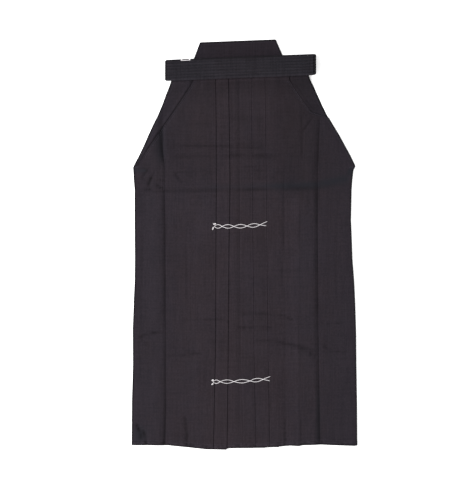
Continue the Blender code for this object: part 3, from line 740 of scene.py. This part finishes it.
def make_back(name, section, flip):
    grid = panel_grid(section, close_rows(PANELS_TOP, HEM_Y, 0.0058), BACK_SHORTER)
    x, y = grid[..., 0], grid[..., 1]
    single = grid[..., 2] < WALL / 2 + 1e-5
    extra = back_thickening(x, y) * single
    height = y - waist_rise(x)
    room = np.maximum(TAKEN_UP_TO - front_base(x, y) - 2 * PLEAT_PITCH, 0)
    carried = 0.85 * ease((height - 0.358) / 0.036) * room
    beside = np.maximum(front_edge_x(y, 1) - x, x - front_edge_x(y, 2))
    to_tie = ease((beside - 0.001) / 0.008) * ease((height - 0.386) / 0.020)
    carried = carried + to_tie * np.maximum(0.0068 - carried, 0)
    grid[..., 2] += extra / 2 + (back_relief(x, y) + carried) * single
    # Painted shade: darker rims, darker towards the ties, in the right leg's side crease and along the right
    # leg's front edge, over the upper strip beside the left leg's opening and in a spot there.
    painted_shade_and_tone = 1.9 * painted_rim_shade(back_inward(x, y) - BACK_INSET) + 0.6 * below_belt_shade(x, y) + 0.10
    painted_shade_and_tone = painted_shade_and_tone + 0.42 * ease((y - 0.290) / 0.050) * (x > 0) + 0.7 * side_crease_shade(x, y) * (x < 0)
    painted_shade_and_tone = painted_shade_and_tone + 0.30 * near(front_edge_x(y, 1) - x - 0.001, 0.0030) * (y > OPENING_FOOT)
    painted_shade_and_tone = painted_shade_and_tone + 0.28 * near(x - 0.172, 0.018) * near(y - 0.331, 0.013)
    return cloth_shell(name, grid, WALL + extra, flip, painted_shade_and_tone, None, 1.5)


def make_gusset():
    """Forked piece between the legs, lying on the back."""
    ys = np.linspace(CROTCH_Y, GUSSET_END_Y, 80)
    wide, slit = gusset_out_x(ys), np.where(ys > GUSSET_FORK_Y, 0.0, GUSSET_SLIT / 2)
    halves = []
    for side, shares in ((-1, np.linspace(-1, 0, GUSSET_HALF)), (1, np.linspace(0, 1, GUSSET_HALF))):
        halves.append(side * slit[:, None] + shares[None, :] * (wide - slit)[:, None])
    x = np.concatenate(halves, axis=1)
    y = np.repeat(ys[:, None], 2 * GUSSET_HALF, axis=1)
    return np.stack([x, y, WALL / 2 + PITCH * (1 + back_pleat_levels(x))], axis=-1)


def fork_shell(name, grid):
    """The gusset is one shell above the fork and two tails below it."""
    half = GUSSET_HALF
    forked = int(np.argmax(grid[:, half, 0] > 1e-6))
    joined = np.concatenate([grid[: forked + 1, :half], grid[: forked + 1, half + 1 :]], axis=1)
    joined[-1, :] = joined[-2, :] + (joined[-2, :] - joined[-3, :]) * 0.5
    head = cloth_shell(name, joined, WALL, True)
    tails = [("_right_tail", grid[forked:, :half]), ("_left_tail", grid[forked:, half:])]
    return head, [cloth_shell(name + end, tail, WALL, True) for end, tail in tails]


def tilted_y(x, height):
    return height + waist_rise(x)


def fold_steps(turn, pitch, facing=1):
    """Places on the half circle where a ribbon turns back onto itself, with the share of the turn done."""
    steps = []
    for step in range(1, 8):
        angle = math.pi * step / 8 - math.pi / 2
        out, up = facing * pitch / 2 * math.cos(angle), pitch / 2 * (1 + math.sin(angle))
        steps.append((turn + out, up, step / 8))
    return steps


def tie_path(ends, floor, pitch, layers, thickness, first_join, top_end):
    """Middle line of the folded ribbon: along, up, and how far across it is shifted."""
    path = []
    for k in range(layers):
        shift_long, shift_across = TIE_SHIFTS[k % len(TIE_SHIFTS)]
        x0, x1 = ends[0] + shift_long, ends[1] + 0.6 * shift_long
        if k == layers - 1 and top_end is not None:
            x0, x1 = (x0, top_end) if first_join == -1 else (top_end, x1)
        z = floor + pitch * (k + 0.5)
        facing = 1 if (first_join == 1) == (k % 2 == 0) else -1
        a, b = (x0, x1) if facing == 1 else (x1, x0)
        inset = pitch / 2 + thickness / 2
        start = a if k == 0 else a + facing * inset
        end = b if k == layers - 1 else b - facing * inset
        for t in np.linspace(0, 1, max(8, int(abs(end - start) / 0.0035))):
            path.append((start + t * (end - start), z, shift_across))
        if k < layers - 1:
            next_across = TIE_SHIFTS[(k + 1) % len(TIE_SHIFTS)][1]
            for x, up, done in fold_steps(end, pitch, facing):
                path.append((x, z + up, shift_across * (1 - done) + next_across * done))
    return np.array(path)


def tie_layers(name, ends, sides, floor, pitch, layers, thickness, rows, first_join, top_end=None):
    """A tie folded to and fro: one long ribbon that turns back at each end of the pile."""
    path = tie_path(ends, floor, pitch, layers, thickness, first_join, top_end)
    walked = np.concatenate([[0], np.cumsum(np.hypot(np.diff(path[:, 0]), np.diff(path[:, 1])))])
    even = np.linspace(0, 1, 43)
    s, v = np.meshgrid(walked, 0.35 * (0.5 - 0.5 * np.cos(math.pi * even)) + 0.65 * even, indexing="ij")
    x, z, shift = [np.repeat(path[:, k][:, None], len(even), axis=1) for k in (0, 1, 2)]
    width = sides[1] - sides[0]
    waver = 0.00035 * soft_noise(s, v * 0, 0.060, 1.0, 21) * (1 - 2 * np.abs(v - 0.5) * 0.4)
    to_end = np.minimum(x - ends[0], ends[1] - x)
    to_corner = to_end.clip(0.0, TIE_CORNER)
    inset = TIE_CORNER - np.sqrt(TIE_CORNER**2 - (TIE_CORNER - to_corner) ** 2)
    y = tilted_y(x, sides[0] + shift + inset + v * (width - 2 * inset) + waver)
    across = np.abs((v * (rows + 1) + 0.5) % 1.0 - 0.5) / (rows + 1) * width
    sunk = near(across, 0.0011) * (v > 0.5 / (rows + 1)) * (v < 1 - 0.5 / (rows + 1))
    full = ease(across / (0.5 * width / (rows + 1)))
    pulled = 1 + 0.5 * soft_noise(s, v * 40, 0.006, 1.0, 22)
    rounded = 0.55 + 0.45 * ease(np.minimum(v, 1 - v) * width / 0.0022)
    uneven = 0.00012 * soft_noise(s, v * width, 0.008, 0.006, 23)
    thick = thickness * rounded - 0.00110 * sunk * pulled + uneven
    # Painted shade in the quilting grooves, along the top rim and at the folded ends, darker towards the top
    # and towards both ends; painted light on the strips between grooves and along the lower rim; the rest is
    # uneven tone.
    painted_shade_and_tone = 0.70 * sunk * pulled + 0.24 - 0.56 * full * (1 + 0.5 * soft_noise(s, v * 7, 0.050, 1.0, 25))
    painted_shade_and_tone = painted_shade_and_tone + 0.20 * soft_noise(s, v * width, 0.090, 0.0030, 24) + 0.20 * v
    painted_shade_and_tone = painted_shade_and_tone + 0.90 * painted_rim_shade((1 - v) * width) - 0.55 * painted_rim_shade(v * width) + 1.6 * painted_rim_shade(to_end)
    painted_shade_and_tone = painted_shade_and_tone + 0.14 * ease((-0.146 - x) / 0.010) + 0.30 * ease((x - 0.140) / 0.012)
    grid = np.stack([x, y, z], axis=-1)
    return cloth_shell(name, grid, np.maximum(thick, 0.0003), first_join == 1, painted_shade_and_tone, None, 0.1)


def make_band():
    """Waistband folded over the tops of the front panels."""
    low, high = PANELS_TOP + 0.0003, TIE_HIGH - 0.004
    floor, pitch, thick = BOARD_THICK + 0.0003, 0.0021, 0.0019
    turn = high - pitch / 2 - thick / 2
    path = [(t, floor + pitch / 2) for t in np.linspace(low, turn, 14)]
    path += [(y, floor + pitch / 2 + up) for y, up, _ in fold_steps(turn, pitch)]
    path += [(t, floor + 1.5 * pitch) for t in np.linspace(turn, low, 14)]
    path = np.array(path)
    x = np.repeat(np.linspace(*BAND_ENDS, 70)[None, :], len(path), axis=0)
    z = np.repeat(path[:, 1][:, None], 70, axis=1)
    grid = np.stack([x, tilted_y(x, path[:, 0][:, None]), z], axis=-1)
    return cloth_shell("front_waistband_folded", grid, thick)


def make_board():
    """Stiff board with cloth drawn over it: slightly full in the middle, rounded at its edges."""
    v = 0.5 - 0.5 * np.cos(np.linspace(0, math.pi, 46))[:, None]
    u = 0.5 - 0.5 * np.cos(np.linspace(0, math.pi, 90))[None, :]

    def between(ends, axis):
        return (1 - u) * ends[0][axis] + u * ends[1][axis]

    x, y = [(1 - v) * between(BOARD_FOOT, axis) + v * between(BOARD_TOP, axis) for axis in (0, 1)]
    from_side, width, height = np.minimum(u, 1 - u), 0.21, 0.080
    edge = np.minimum(from_side * width, np.minimum(v, 1 - v) * height)
    corner = np.hypot(np.maximum(0.004 - from_side * width, 0), np.maximum(0.004 - (1 - v) * height, 0))
    pull = step01((corner - 0.004) / 0.0017)
    x = x - np.sign(u - 0.5) * pull * 0.0010
    y = y - pull * 0.0010
    full = BOARD_THICK * (0.30 + 0.70 * np.sqrt(step01(1 - (1 - step01(edge / 0.0016)) ** 2)))
    full = full - 0.0004 * near(edge - 0.0050, 0.0009)
    full = full + 0.00018 * soft_noise(x, y, 0.018, 0.014, 31) * ease(edge / 0.006)
    # Painted shade along the rims, and painted light near the ties, where their shadow falls.
    painted_shade_and_tone = 1.7 * painted_rim_shade(edge) - 0.22 * ease((0.470 - y + waist_rise(x)) / 0.010)
    return cloth_shell("back_board_covered", np.stack([x, y, full / 2], axis=-1), full, True, painted_shade_and_tone, None, 1.6)


# Sewing


def surface_under(pieces):
    """Height of the topmost of some pieces at a place."""
    verts, faces, start = [], [], 0
    for piece in pieces:
        mesh = piece.data
        verts += [v.co[:] for v in mesh.vertices]
        faces += [[start + i for i in p.vertices] for p in mesh.polygons]
        start = len(verts)
    tree = BVHTree.FromPolygons(verts, faces)

    def height(x, y):
        hit = tree.ray_cast(Vector((x, y, 0.2)), Vector((0, 0, -1)))[0]
        return None if hit is None else hit.z

    return height


def tube_rings(path, radius, sides):
    """Vertices and faces of a short thread along points, thinner at its ends."""
    path = np.array(path, float)
    along = np.gradient(path, axis=0)
    along /= np.maximum(np.linalg.norm(along, axis=1, keepdims=True), 1e-12)
    up = np.tile([0.0, 0.0, 1.0], (len(path), 1))
    up[np.abs(along[:, 2]) > 0.95] = (0.0, 1.0, 0.0)
    side = np.cross(along, up)
    side /= np.maximum(np.linalg.norm(side, axis=1, keepdims=True), 1e-12)
    up = np.cross(side, along)
    angles = np.linspace(0, 2 * math.pi, sides, endpoint=False)[None, :, None]
    size = np.full(len(path), radius)
    size[0] = size[-1] = radius * 0.35
    ring = np.cos(angles) * side[:, None, :] + np.sin(angles) * up[:, None, :]
    verts = (path[:, None, :] + ring * size[:, None, None]).reshape(-1, 3)
    faces = []
    for start in range(0, (len(path) - 1) * sides, sides):
        for k in range(sides):
            j = (k + 1) % sides
            faces.append((start + k, start + j, start + sides + j, start + sides + k))
    faces.append(tuple(range(sides))[::-1])
    faces.append(tuple(range((len(path) - 1) * sides, len(path) * sides)))
    return verts, faces


def threads(name, paths, radius, sides=6):
    """Many threads as one mesh."""
    verts, faces, start = [], [], 0
    for path in paths:
        some, around = tube_rings(path, radius, sides)
        verts.append(some)
        faces += [tuple(start + i for i in face) for face in around]
        start += len(some)
    return mesh_from(name, np.concatenate(verts), faces)


PANEL_THREAD = 0.00022
TIE_THREAD = 0.00020
BOARD_THREAD = 0.00018
BASTING_THREAD = 0.00062
LOOP_THREAD = 0.00080
LOOP_HEIGHTS = (0.0222, 0.0224)
FRONT_HEIGHT_BESIDE = 0.006


def stitch_row(line, height, length=0.0026, gap=0.0014, radius=PANEL_THREAD):
    """Short stitches along a line of points that dip into the cloth at their ends."""
    line = np.array(line, float)
    walked = np.concatenate([[0], np.cumsum(np.hypot(*np.diff(line, axis=0).T))])
    paths = []
    for start in np.arange(0.002, walked[-1] - length, length + gap):
        path = []
        for t, dip in ((0.0, -0.0003), (0.2, 0.0), (0.5, 0.00012), (0.8, 0.0), (1.0, -0.0003)):
            s = start + t * length
            x, y = np.interp(s, walked, line[:, 0]), np.interp(s, walked, line[:, 1])
            z = height(x, y)
            if z is None:
                break
            path.append((x, y, z + dip + radius * 0.5))
        if len(path) == 5 and max(p[2] for p in path) - min(p[2] for p in path) < 0.0012:
            paths.append(path)
    return paths


# Materials


def feed(tree, plug, value):
    """Links a strand to a socket, or sets a plain value on it."""
    if isinstance(value, Strand):
        tree.links.new(value.socket, plug)
    else:
        plug.default_value = value


def operator(kind, reflected=False):
    """Method of a strand that makes one kind of Math node, with its terms swapped in the reflected form."""
    return lambda strand, other: strand.math(kind, *((other, strand) if reflected else (strand, other)))


class Strand:
    """One value in a material. Plain arithmetic on it makes Math nodes."""

    def __init__(self, tree, socket):
        self.tree, self.socket = tree, socket

    def math(self, kind, *terms):
        node = self.tree.nodes.new("ShaderNodeMath")
        node.operation = kind
        for plug, term in zip(node.inputs, terms):
            feed(self.tree, plug, term)
        return Strand(self.tree, node.outputs[0])

    __add__, __radd__ = operator("ADD"), operator("ADD", True)
    __sub__, __rsub__ = operator("SUBTRACT"), operator("SUBTRACT", True)
    __mul__, __rmul__ = operator("MULTIPLY"), operator("MULTIPLY", True)
    __truediv__, __rtruediv__ = operator("DIVIDE"), operator("DIVIDE", True)

    def limited(self):
        held = self + 0.0
        held.socket.node.use_clamp = True
        return held


class Look:
    """A material being made."""

    def __init__(self, name):
        self.material = bpy.data.materials.new(name)
        self.material.use_nodes = True
        self.tree = self.material.node_tree
        self.shader = self.tree.nodes["Principled BSDF"]

    def node(self, kind, output, settings=None, **plugs):
        """Any other node: its settings first, then values or links for its sockets."""
        made = self.tree.nodes.new(kind)
        for name, value in (settings or {}).items():
            setattr(made, name, value)
        for name, value in plugs.items():
            plug = made.inputs[int(name[1:])] if name[0] == "i" and name[1:].isdigit() else made.inputs[name]
            feed(self.tree, plug, value)
        return Strand(self.tree, made.outputs[output])

    def place(self, stretch=(1, 1, 1)):
        """Position on the object, stretched."""
        here = self.node("ShaderNodeTexCoord", "Object")
        return self.node("ShaderNodeVectorMath", 0, {"operation": "MULTIPLY"}, i0=here, i1=stretch)

    def patches(self, scale, detail=2.0, stretch=(1, 1, 1)):
        """Uneven values around 0.5."""
        return self.node("ShaderNodeTexNoise", 0, Vector=self.place(stretch), Scale=scale, Detail=detail)

    def bands(self, period, direction, distortion=0.0):
        """Even ridges, one for each period in metres."""
        kind = {"wave_type": "BANDS", "bands_direction": direction}
        place, scale = self.place(), 0.31416 / period
        return self.node("ShaderNodeTexWave", "Fac", kind, Vector=place, Scale=scale, Distortion=distortion)

    def blend(self, share, low, high):
        """Colour between two colours."""
        low, high = [value if isinstance(value, Strand) else (*value, 1.0) for value in (low, high)]
        return self.node("ShaderNodeMix", 2, {"data_type": "RGBA"}, i0=share, i6=low, i7=high)

    def finish(self, colour, roughness, bump, depth, strength, specular, sheen=0.0, tint=(1, 1, 1)):
        lifted = self.node("ShaderNodeBump", "Normal", Strength=strength, Distance=depth, Height=bump)
        values = {
            "Base Color": colour, "Roughness": roughness, "Specular IOR Level": specular,
            "Sheen Weight": sheen, "Sheen Roughness": 0.5, "Sheen Tint": (*tint, 1.0), "Normal": lifted,
        }
        for name, value in values.items():
            feed(self.tree, self.shader.inputs[name], value)
        return self.material


FADED_BLUE = (0.0124, 0.0132, 0.0178)


def woven_cotton(name, dark, light, warm, cool, weave=0.0010, strength=0.45, lines=1.0):
    """Thick plain-woven cotton, dyed a little unevenly, with faint streaks along the warp and the weft."""
    look = Look(name)
    wide = look.patches(9.0, 3.0) - 0.5
    streaks = look.patches(1.0, 3.0, (330, 14, 14)) - 0.5
    slubs = look.patches(1.0, 3.0, (14, 300, 14)) - 0.5
    mottle = look.patches(230.0, 3.0) - 0.5
    fine = look.patches(900.0, 2.0) - 0.5
    warp = look.bands(weave, "X", 0.6)
    weft = look.bands(weave, "Y", 0.6)
    cloth = warp * weft + (1.0 - warp) * (1.0 - weft)
    tone = (wide * 0.7 + (streaks * 1.5 + slubs * 1.1) * lines + mottle * 2.0 + fine * 0.3 + 0.5).limited()
    base = look.blend(tone, dark, light)
    from_middle = look.node("ShaderNodeSeparateXYZ", 0, Vector=look.place())
    hue = (look.patches(10.0, 1.0, (1.0, 0.5, 1.0)) - 0.5) * 1.6 + (look.patches(60.0, 1.0) - 0.5) * 0.8
    hue = (hue + from_middle * from_middle * 13.0 + 0.26).limited()
    mixed = look.blend(0.5, base, look.blend(hue, warm, cool))
    faded = look.node("ShaderNodeAttribute", "Fac", {"attribute_name": "faded"})
    bluer = look.blend(faded * 0.75, mixed, FADED_BLUE)
    # Darkened by the painted shade and uneven tone that each piece keeps on its points.
    painted_shade_and_tone = look.node("ShaderNodeAttribute", "Fac", {"attribute_name": "painted_shade_and_tone"})
    share = (cloth * 0.24 + 0.76 + fine * 0.25) * (1.0 - painted_shade_and_tone * 0.45)
    shaded = look.node("ShaderNodeVectorMath", 0, {"operation": "SCALE"}, i0=bluer, Scale=share)
    rough = 0.88 + mottle * 0.12
    height = cloth * 0.6 + fine * 0.5 + mottle * 1.2 + (streaks + slubs) * 0.6
    return look.finish(shaded, rough, height, 0.00040, strength, 0.10, 0.03, (0.75, 0.72, 0.9))


def plain_thread(name, colour, shade):
    look = Look(name)
    twist = look.bands(0.0008, "DIAGONAL", 0.5)
    mottle = look.patches(600.0)
    mixed = look.blend((twist * 0.5 + mottle * 0.5).limited(), shade, colour)
    return look.finish(mixed, 0.8, twist, 0.0002, 0.4, 0.2)


panel_cotton = woven_cotton(
    "panel_cotton_dark_indigo", (0.0108, 0.0082, 0.0106), (0.0256, 0.0194, 0.0244),
    (0.0208, 0.0148, 0.0180), (0.0172, 0.0144, 0.0200),
)
inside_cotton = woven_cotton(
    "back_cotton_dark_indigo", (0.0098, 0.0077, 0.0102), (0.0230, 0.0180, 0.0230),
    (0.0178, 0.0130, 0.0160), (0.0156, 0.0134, 0.0188),
)
tie_cotton = woven_cotton(
    "tie_cotton_dark_blue", (0.0088, 0.0078, 0.0100), (0.0216, 0.0192, 0.0242),
    (0.0136, 0.0110, 0.0140), (0.0120, 0.0114, 0.0152), 0.0008, 0.55, 1.8,
)
board_cloth = woven_cotton(
    "board_cloth_near_black", (0.0076, 0.0060, 0.0082), (0.0188, 0.0146, 0.0196),
    (0.0138, 0.0098, 0.0134), (0.0114, 0.0096, 0.0134), 0.0007, 0.4, 1.3,
)
sewing_thread = plain_thread("sewing_thread_blue_black", (0.046, 0.046, 0.062), (0.024, 0.024, 0.034))
white_thread = plain_thread("basting_thread_white", (0.80, 0.78, 0.78), (0.45, 0.42, 0.44))


def dress(piece, material, slot_name, *nodes):
    piece.data.materials.append(material)
    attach(piece, "root")
    if nodes:
        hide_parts(*nodes)
    return piece


# Panels

front_right = make_front("front_right_leg_cloth", front_right_section, True)
front_left = make_front("front_left_leg_cloth", front_left_section, False)
back_right = make_back("back_right_leg_cloth", back_right_section, True)
back_left = make_back("back_left_leg_cloth", back_left_section, False)
dress(front_right, panel_cotton, "panel_cotton", "front_right_leg")
dress(front_left, panel_cotton, "panel_cotton", "front_left_leg")
dress(back_right, inside_cotton, "panel_cotton", "back_right_leg")
dress(back_left, inside_cotton, "panel_cotton", "back_left_leg")
gusset, gusset_tails = fork_shell("crotch_gusset_cloth", make_gusset())
dress(gusset, inside_cotton, "panel_cotton", "crotch_gusset")
for tail in gusset_tails:
    dress(tail, inside_cotton, "panel_cotton")

# Waist

under_sides = (TIE_LOW + 0.0012, TIE_HIGH - 0.0008)
back_sides = (PANELS_TOP + 0.0010, TIE_HIGH - 0.0030)
top_sides = (TIE_LOW, TIE_HIGH)
on_top = FOLDED_ON + 4 * TIE_LAYER + 0.0003
tie_right = tie_layers(
    "front_tie_right_layers", (-0.1915, 0.1725), under_sides, FOLDED_ON, TIE_LAYER, 4, 0.00130, TIE_ROWS, 1
)
tie_left = tie_layers(
    "front_tie_left_layers", (-0.1928, 0.1738), top_sides, on_top, TIE_LAYER, 4, 0.00135, TIE_ROWS, -1, 0.1668
)
back_tie_right = tie_layers(
    "back_tie_right_layers", (-0.1900, -0.1412), back_sides, 0.0, BACK_TIE_LAYER, 8, 0.00095, 4, 1
)
back_tie_left = tie_layers(
    "back_tie_left_layers", (0.1125, 0.1705), back_sides, 0.0, BACK_TIE_LAYER, 8, 0.00095, 4, -1
)
dress(tie_right, tie_cotton, "tie_cotton", "front_tie_right_folded")
dress(tie_left, tie_cotton, "tie_cotton", "front_tie_left_folded")
dress(back_tie_right, tie_cotton, "tie_cotton", "back_tie_right_folded")
dress(back_tie_left, tie_cotton, "tie_cotton", "back_tie_left_folded")
band = dress(make_band(), tie_cotton, "tie_cotton", "front_waistband")
board = dress(make_board(), board_cloth, "board_cloth", "back_board")

# Sewing on the panels

front_height = surface_under([front_right, front_left])
back_height = surface_under([back_right, back_left])
tie_height = surface_under([tie_left])
board_height = surface_under([board])

hem_x = np.arange(-0.2725, 0.2725, 0.003)
hem_points = [(x, hem_line(x) + HEM_BAND) for x in hem_x]
hem_rows = stitch_row(hem_points, front_height, 0.0024, 0.0016)
opening_rows = []
for side, sign in ((1, 1), (2, -1)):
    for inset in (0.0058, 0.0022):
        ys = np.arange(0.4000, 0.1960, -0.003)
        line = [(front_edge_x(y, side) + sign * inset * 1.25, y) for y in ys]
        opening_rows += stitch_row(line, front_height)
    ys = np.arange(0.3960, 0.2000 if side == 1 else 0.3120, -0.003)
    line = [(outline_x(y, side) + sign * (BACK_INSET + EDGE_TURN * 1.12), y) for y in ys]
    opening_rows += stitch_row(line, back_height)
    for y in (0.1900, 0.1885, 0.1870):
        x = outline_x(y, side)
        line = [(x + sign * 0.001, y), (x + sign * 0.014, y)]
        opening_rows += stitch_row(line, front_height, 0.0030, 0.0004)
panel_stitches = threads("hem_and_opening_stitches", hem_rows + opening_rows, PANEL_THREAD)
dress(panel_stitches, sewing_thread, "panel_cotton")

tie_rows = []
for k in range(1, TIE_ROWS + 1):
    height = TIE_LOW + (TIE_HIGH - TIE_LOW) * k / (TIE_ROWS + 1)
    line = [(x, tilted_y(x, height)) for x in np.arange(-0.1895, 0.1655, 0.004)]
    tie_rows += stitch_row(line, tie_height, 0.0024, 0.0012, TIE_THREAD)
for x in (0.1640, 0.1655):
    line = [(x, tilted_y(x, TIE_LOW + 0.001)), (x, tilted_y(x, TIE_HIGH - 0.001))]
    tie_rows += stitch_row(line, tie_height, 0.0024, 0.0012, TIE_THREAD)
tie_stitches = dress(threads("tie_quilting_stitches", tie_rows, TIE_THREAD), sewing_thread, "tie_cotton")

board_rows = []
corners = [
    np.add(BOARD_FOOT[0], (0.0060, 0.004)), np.add(BOARD_TOP[0], (0.0040, -0.0050)),
    np.add(BOARD_TOP[1], (-0.0040, -0.0050)), np.add(BOARD_FOOT[1], (-0.0060, 0.004)),
]
for start, end in zip(corners, corners[1:]):
    line = [tuple(start + (end - start) * t) for t in np.linspace(0, 1, 40)]
    board_rows += stitch_row(line, board_height, 0.0022, 0.0012, BOARD_THREAD)
dress(threads("board_edge_stitches", board_rows, BOARD_THREAD), sewing_thread, "board_cloth")

# White basting threads that hold the pleats together

BASTING = [
    # crossings x, crossings y, swing, end of upper strand, end of lower strand
    (
        [-0.0740, -0.0547, -0.0254, 0.0063, 0.0381, 0.0560],
        [0.0440, 0.0442, 0.0440, 0.0450, 0.0478, 0.0505],
        0.0088, (0.0563, 0.0563), (0.0540, 0.0455),
    ),
    (
        [-0.0770, -0.0595, -0.0254, 0.0137, 0.0454, 0.0620],
        [-0.3345, -0.3342, -0.3338, -0.3321, -0.3282, -0.3250],
        0.0084, (0.0637, -0.3210), (0.0625, -0.3320),
    ),
]


def basting_strands(crossings_x, crossings_y, swing, upper_end, lower_end):
    """Two strands that cross again and again over the pleats."""
    strands = []
    last = len(crossings_x) - 2
    for which, end in ((1, upper_end), (-1, lower_end)):
        path = []
        for k in range(last + 1):
            x0, x1 = crossings_x[k], crossings_x[k + 1]
            y0, y1 = crossings_y[k], crossings_y[k + 1]
            sign = which if (last - k) % 2 == 0 else -which
            stop = 15 if k < last else 9
            for step in range(stop):
                t = step / 15
                x = x0 + (x1 - x0) * t
                y = y0 + (y1 - y0) * t + sign * swing * 0.5 * math.sin(math.pi * t)
                if k == last:
                    x = x0 + (end[0] - x0) * step / 8
                    y = y0 + (end[1] - y0) * (step / 8) ** 0.9
                over = 0.0009 if (which == 1) == (k % 2 == 0) and step < 3 else 0.0
                z = front_height(x, y)
                path.append((x, y, (z or FRONT_HEIGHT_BESIDE) + 0.00075 + over * (1 - step / 3)))
        path[0] = (path[0][0], path[0][1], path[0][2] - 0.0008)
        path[-1] = (path[-1][0], path[-1][1], path[-1][2] - 0.0012)
        smooth = [path[0]]
        for before, here, after in zip(path, path[1:], path[2:]):
            smooth.append((here[0], here[1], max(here[2], (before[2] + after[2]) / 2)))
        strands.append(smooth + [path[-1]])
    return strands


KNOTS = [
    # centre, half size, turns, lean
    ((-0.0728, 0.0500), (0.0042, 0.0014), 2.3, 0.4),
    ((-0.0765, 0.0392), (0.0016, 0.0034), 2.1, 0.9),
    ((-0.0775, -0.3308), (0.0030, 0.0016), 2.3, 0.4),
    ((-0.0780, -0.3400), (0.0026, 0.0016), 2.1, 0.9),
]


def knot(centre, size, turns, lean):
    """A small tangle of the same thread."""
    path = []
    base = front_height(*centre) or FRONT_HEIGHT_BESIDE
    for step in range(34):
        angle = turns * 2 * math.pi * step / 33
        x = centre[0] + size[0] * math.cos(angle) * (0.6 + 0.4 * math.sin(1.7 * angle))
        y = centre[1] + size[1] * math.sin(angle + lean)
        path.append((x, y, base + 0.0010 + 0.0008 * (1 + math.sin(2.3 * angle))))
    return path


basting_paths = [strand for row in BASTING for strand in basting_strands(*row)]
basting_paths += [knot(*row) for row in KNOTS]
basting = dress(threads("basting_threads", basting_paths, BASTING_THREAD, 8), white_thread, "panel_cotton")

loop_path = []
for step in range(41):
    t = step / 40
    x = -0.1548 + 0.0235 * t
    y = tilted_y(x, TIE_HIGH - 0.0012) + 0.0034 * math.sin(math.pi * t) ** 0.8
    loop_path.append((x, y, LOOP_HEIGHTS[0] - 0.0012 * math.sin(math.pi * t)))
back_way = [(x, tilted_y(x, TIE_HIGH - 0.0022), LOOP_HEIGHTS[1]) for x, _, _ in loop_path[::-1]]
tie_loop = threads("tie_thread_loop", [loop_path, back_way], LOOP_THREAD, 8)
dress(tie_loop, white_thread, "tie_cotton")

# Floor, light and camera

floor_look = Look("pale_floor")
floor_tone = floor_look.blend(floor_look.patches(3.0, 2.0), (0.90, 0.90, 0.90), (0.92, 0.92, 0.92))
floor_look.finish(floor_tone, 0.9, floor_look.patches(60.0, 2.0), 0.0002, 0.1, 0.1)
floor_look.shader.inputs["Emission Color"].default_value = (1.0, 1.0, 1.0, 1.0)
floor_look.shader.inputs["Emission Strength"].default_value = 0.40
bpy.ops.mesh.primitive_plane_add(size=14.0, location=(0, 0, -0.0004))
floor = bpy.context.object
floor.name = "floor"
floor.data.materials.append(floor_look.material)

world = bpy.data.worlds.new("soft_studio")
bpy.context.scene.world = world
world.use_nodes = True
background = world.node_tree.nodes["Background"]
background.inputs["Color"].default_value = (1.0, 1.0, 1.0, 1.0)
background.inputs["Strength"].default_value = 0.75


def soft_light(name, place, aim, size, power):
    data = bpy.data.lights.new(name, "AREA")
    data.shape = "SQUARE"
    data.size = size
    data.energy = power
    lamp = bpy.data.objects.new(name, data)
    lamp.location = place
    lamp.rotation_mode = "QUATERNION"
    lamp.rotation_quaternion = (Vector(aim) - Vector(place)).to_track_quat("-Z", "Y")
    bpy.context.scene.collection.objects.link(lamp)


soft_light("key_from_upper_left", (-2.90, 0.30, 3.3), (0, 0, 0), 1.8, 245)
soft_light("fill_from_lower_left", (-1.6, -2.2, 2.6), (0, -0.1, 0), 1.8, 22)

CAMERA_HEIGHT = 5.0
SEEN_HEIGHT = 1.22
lens = bpy.data.cameras.new("camera")
lens.sensor_width = 36.0
lens.lens = lens.sensor_width * CAMERA_HEIGHT / SEEN_HEIGHT
lens.clip_end = 50.0
camera = bpy.data.objects.new("camera", lens)
camera.location = (-0.0461, -0.0134, CAMERA_HEIGHT)
bpy.context.scene.collection.objects.link(camera)
bpy.context.scene.camera = camera
bpy.context.scene.view_settings.view_transform = "Standard"
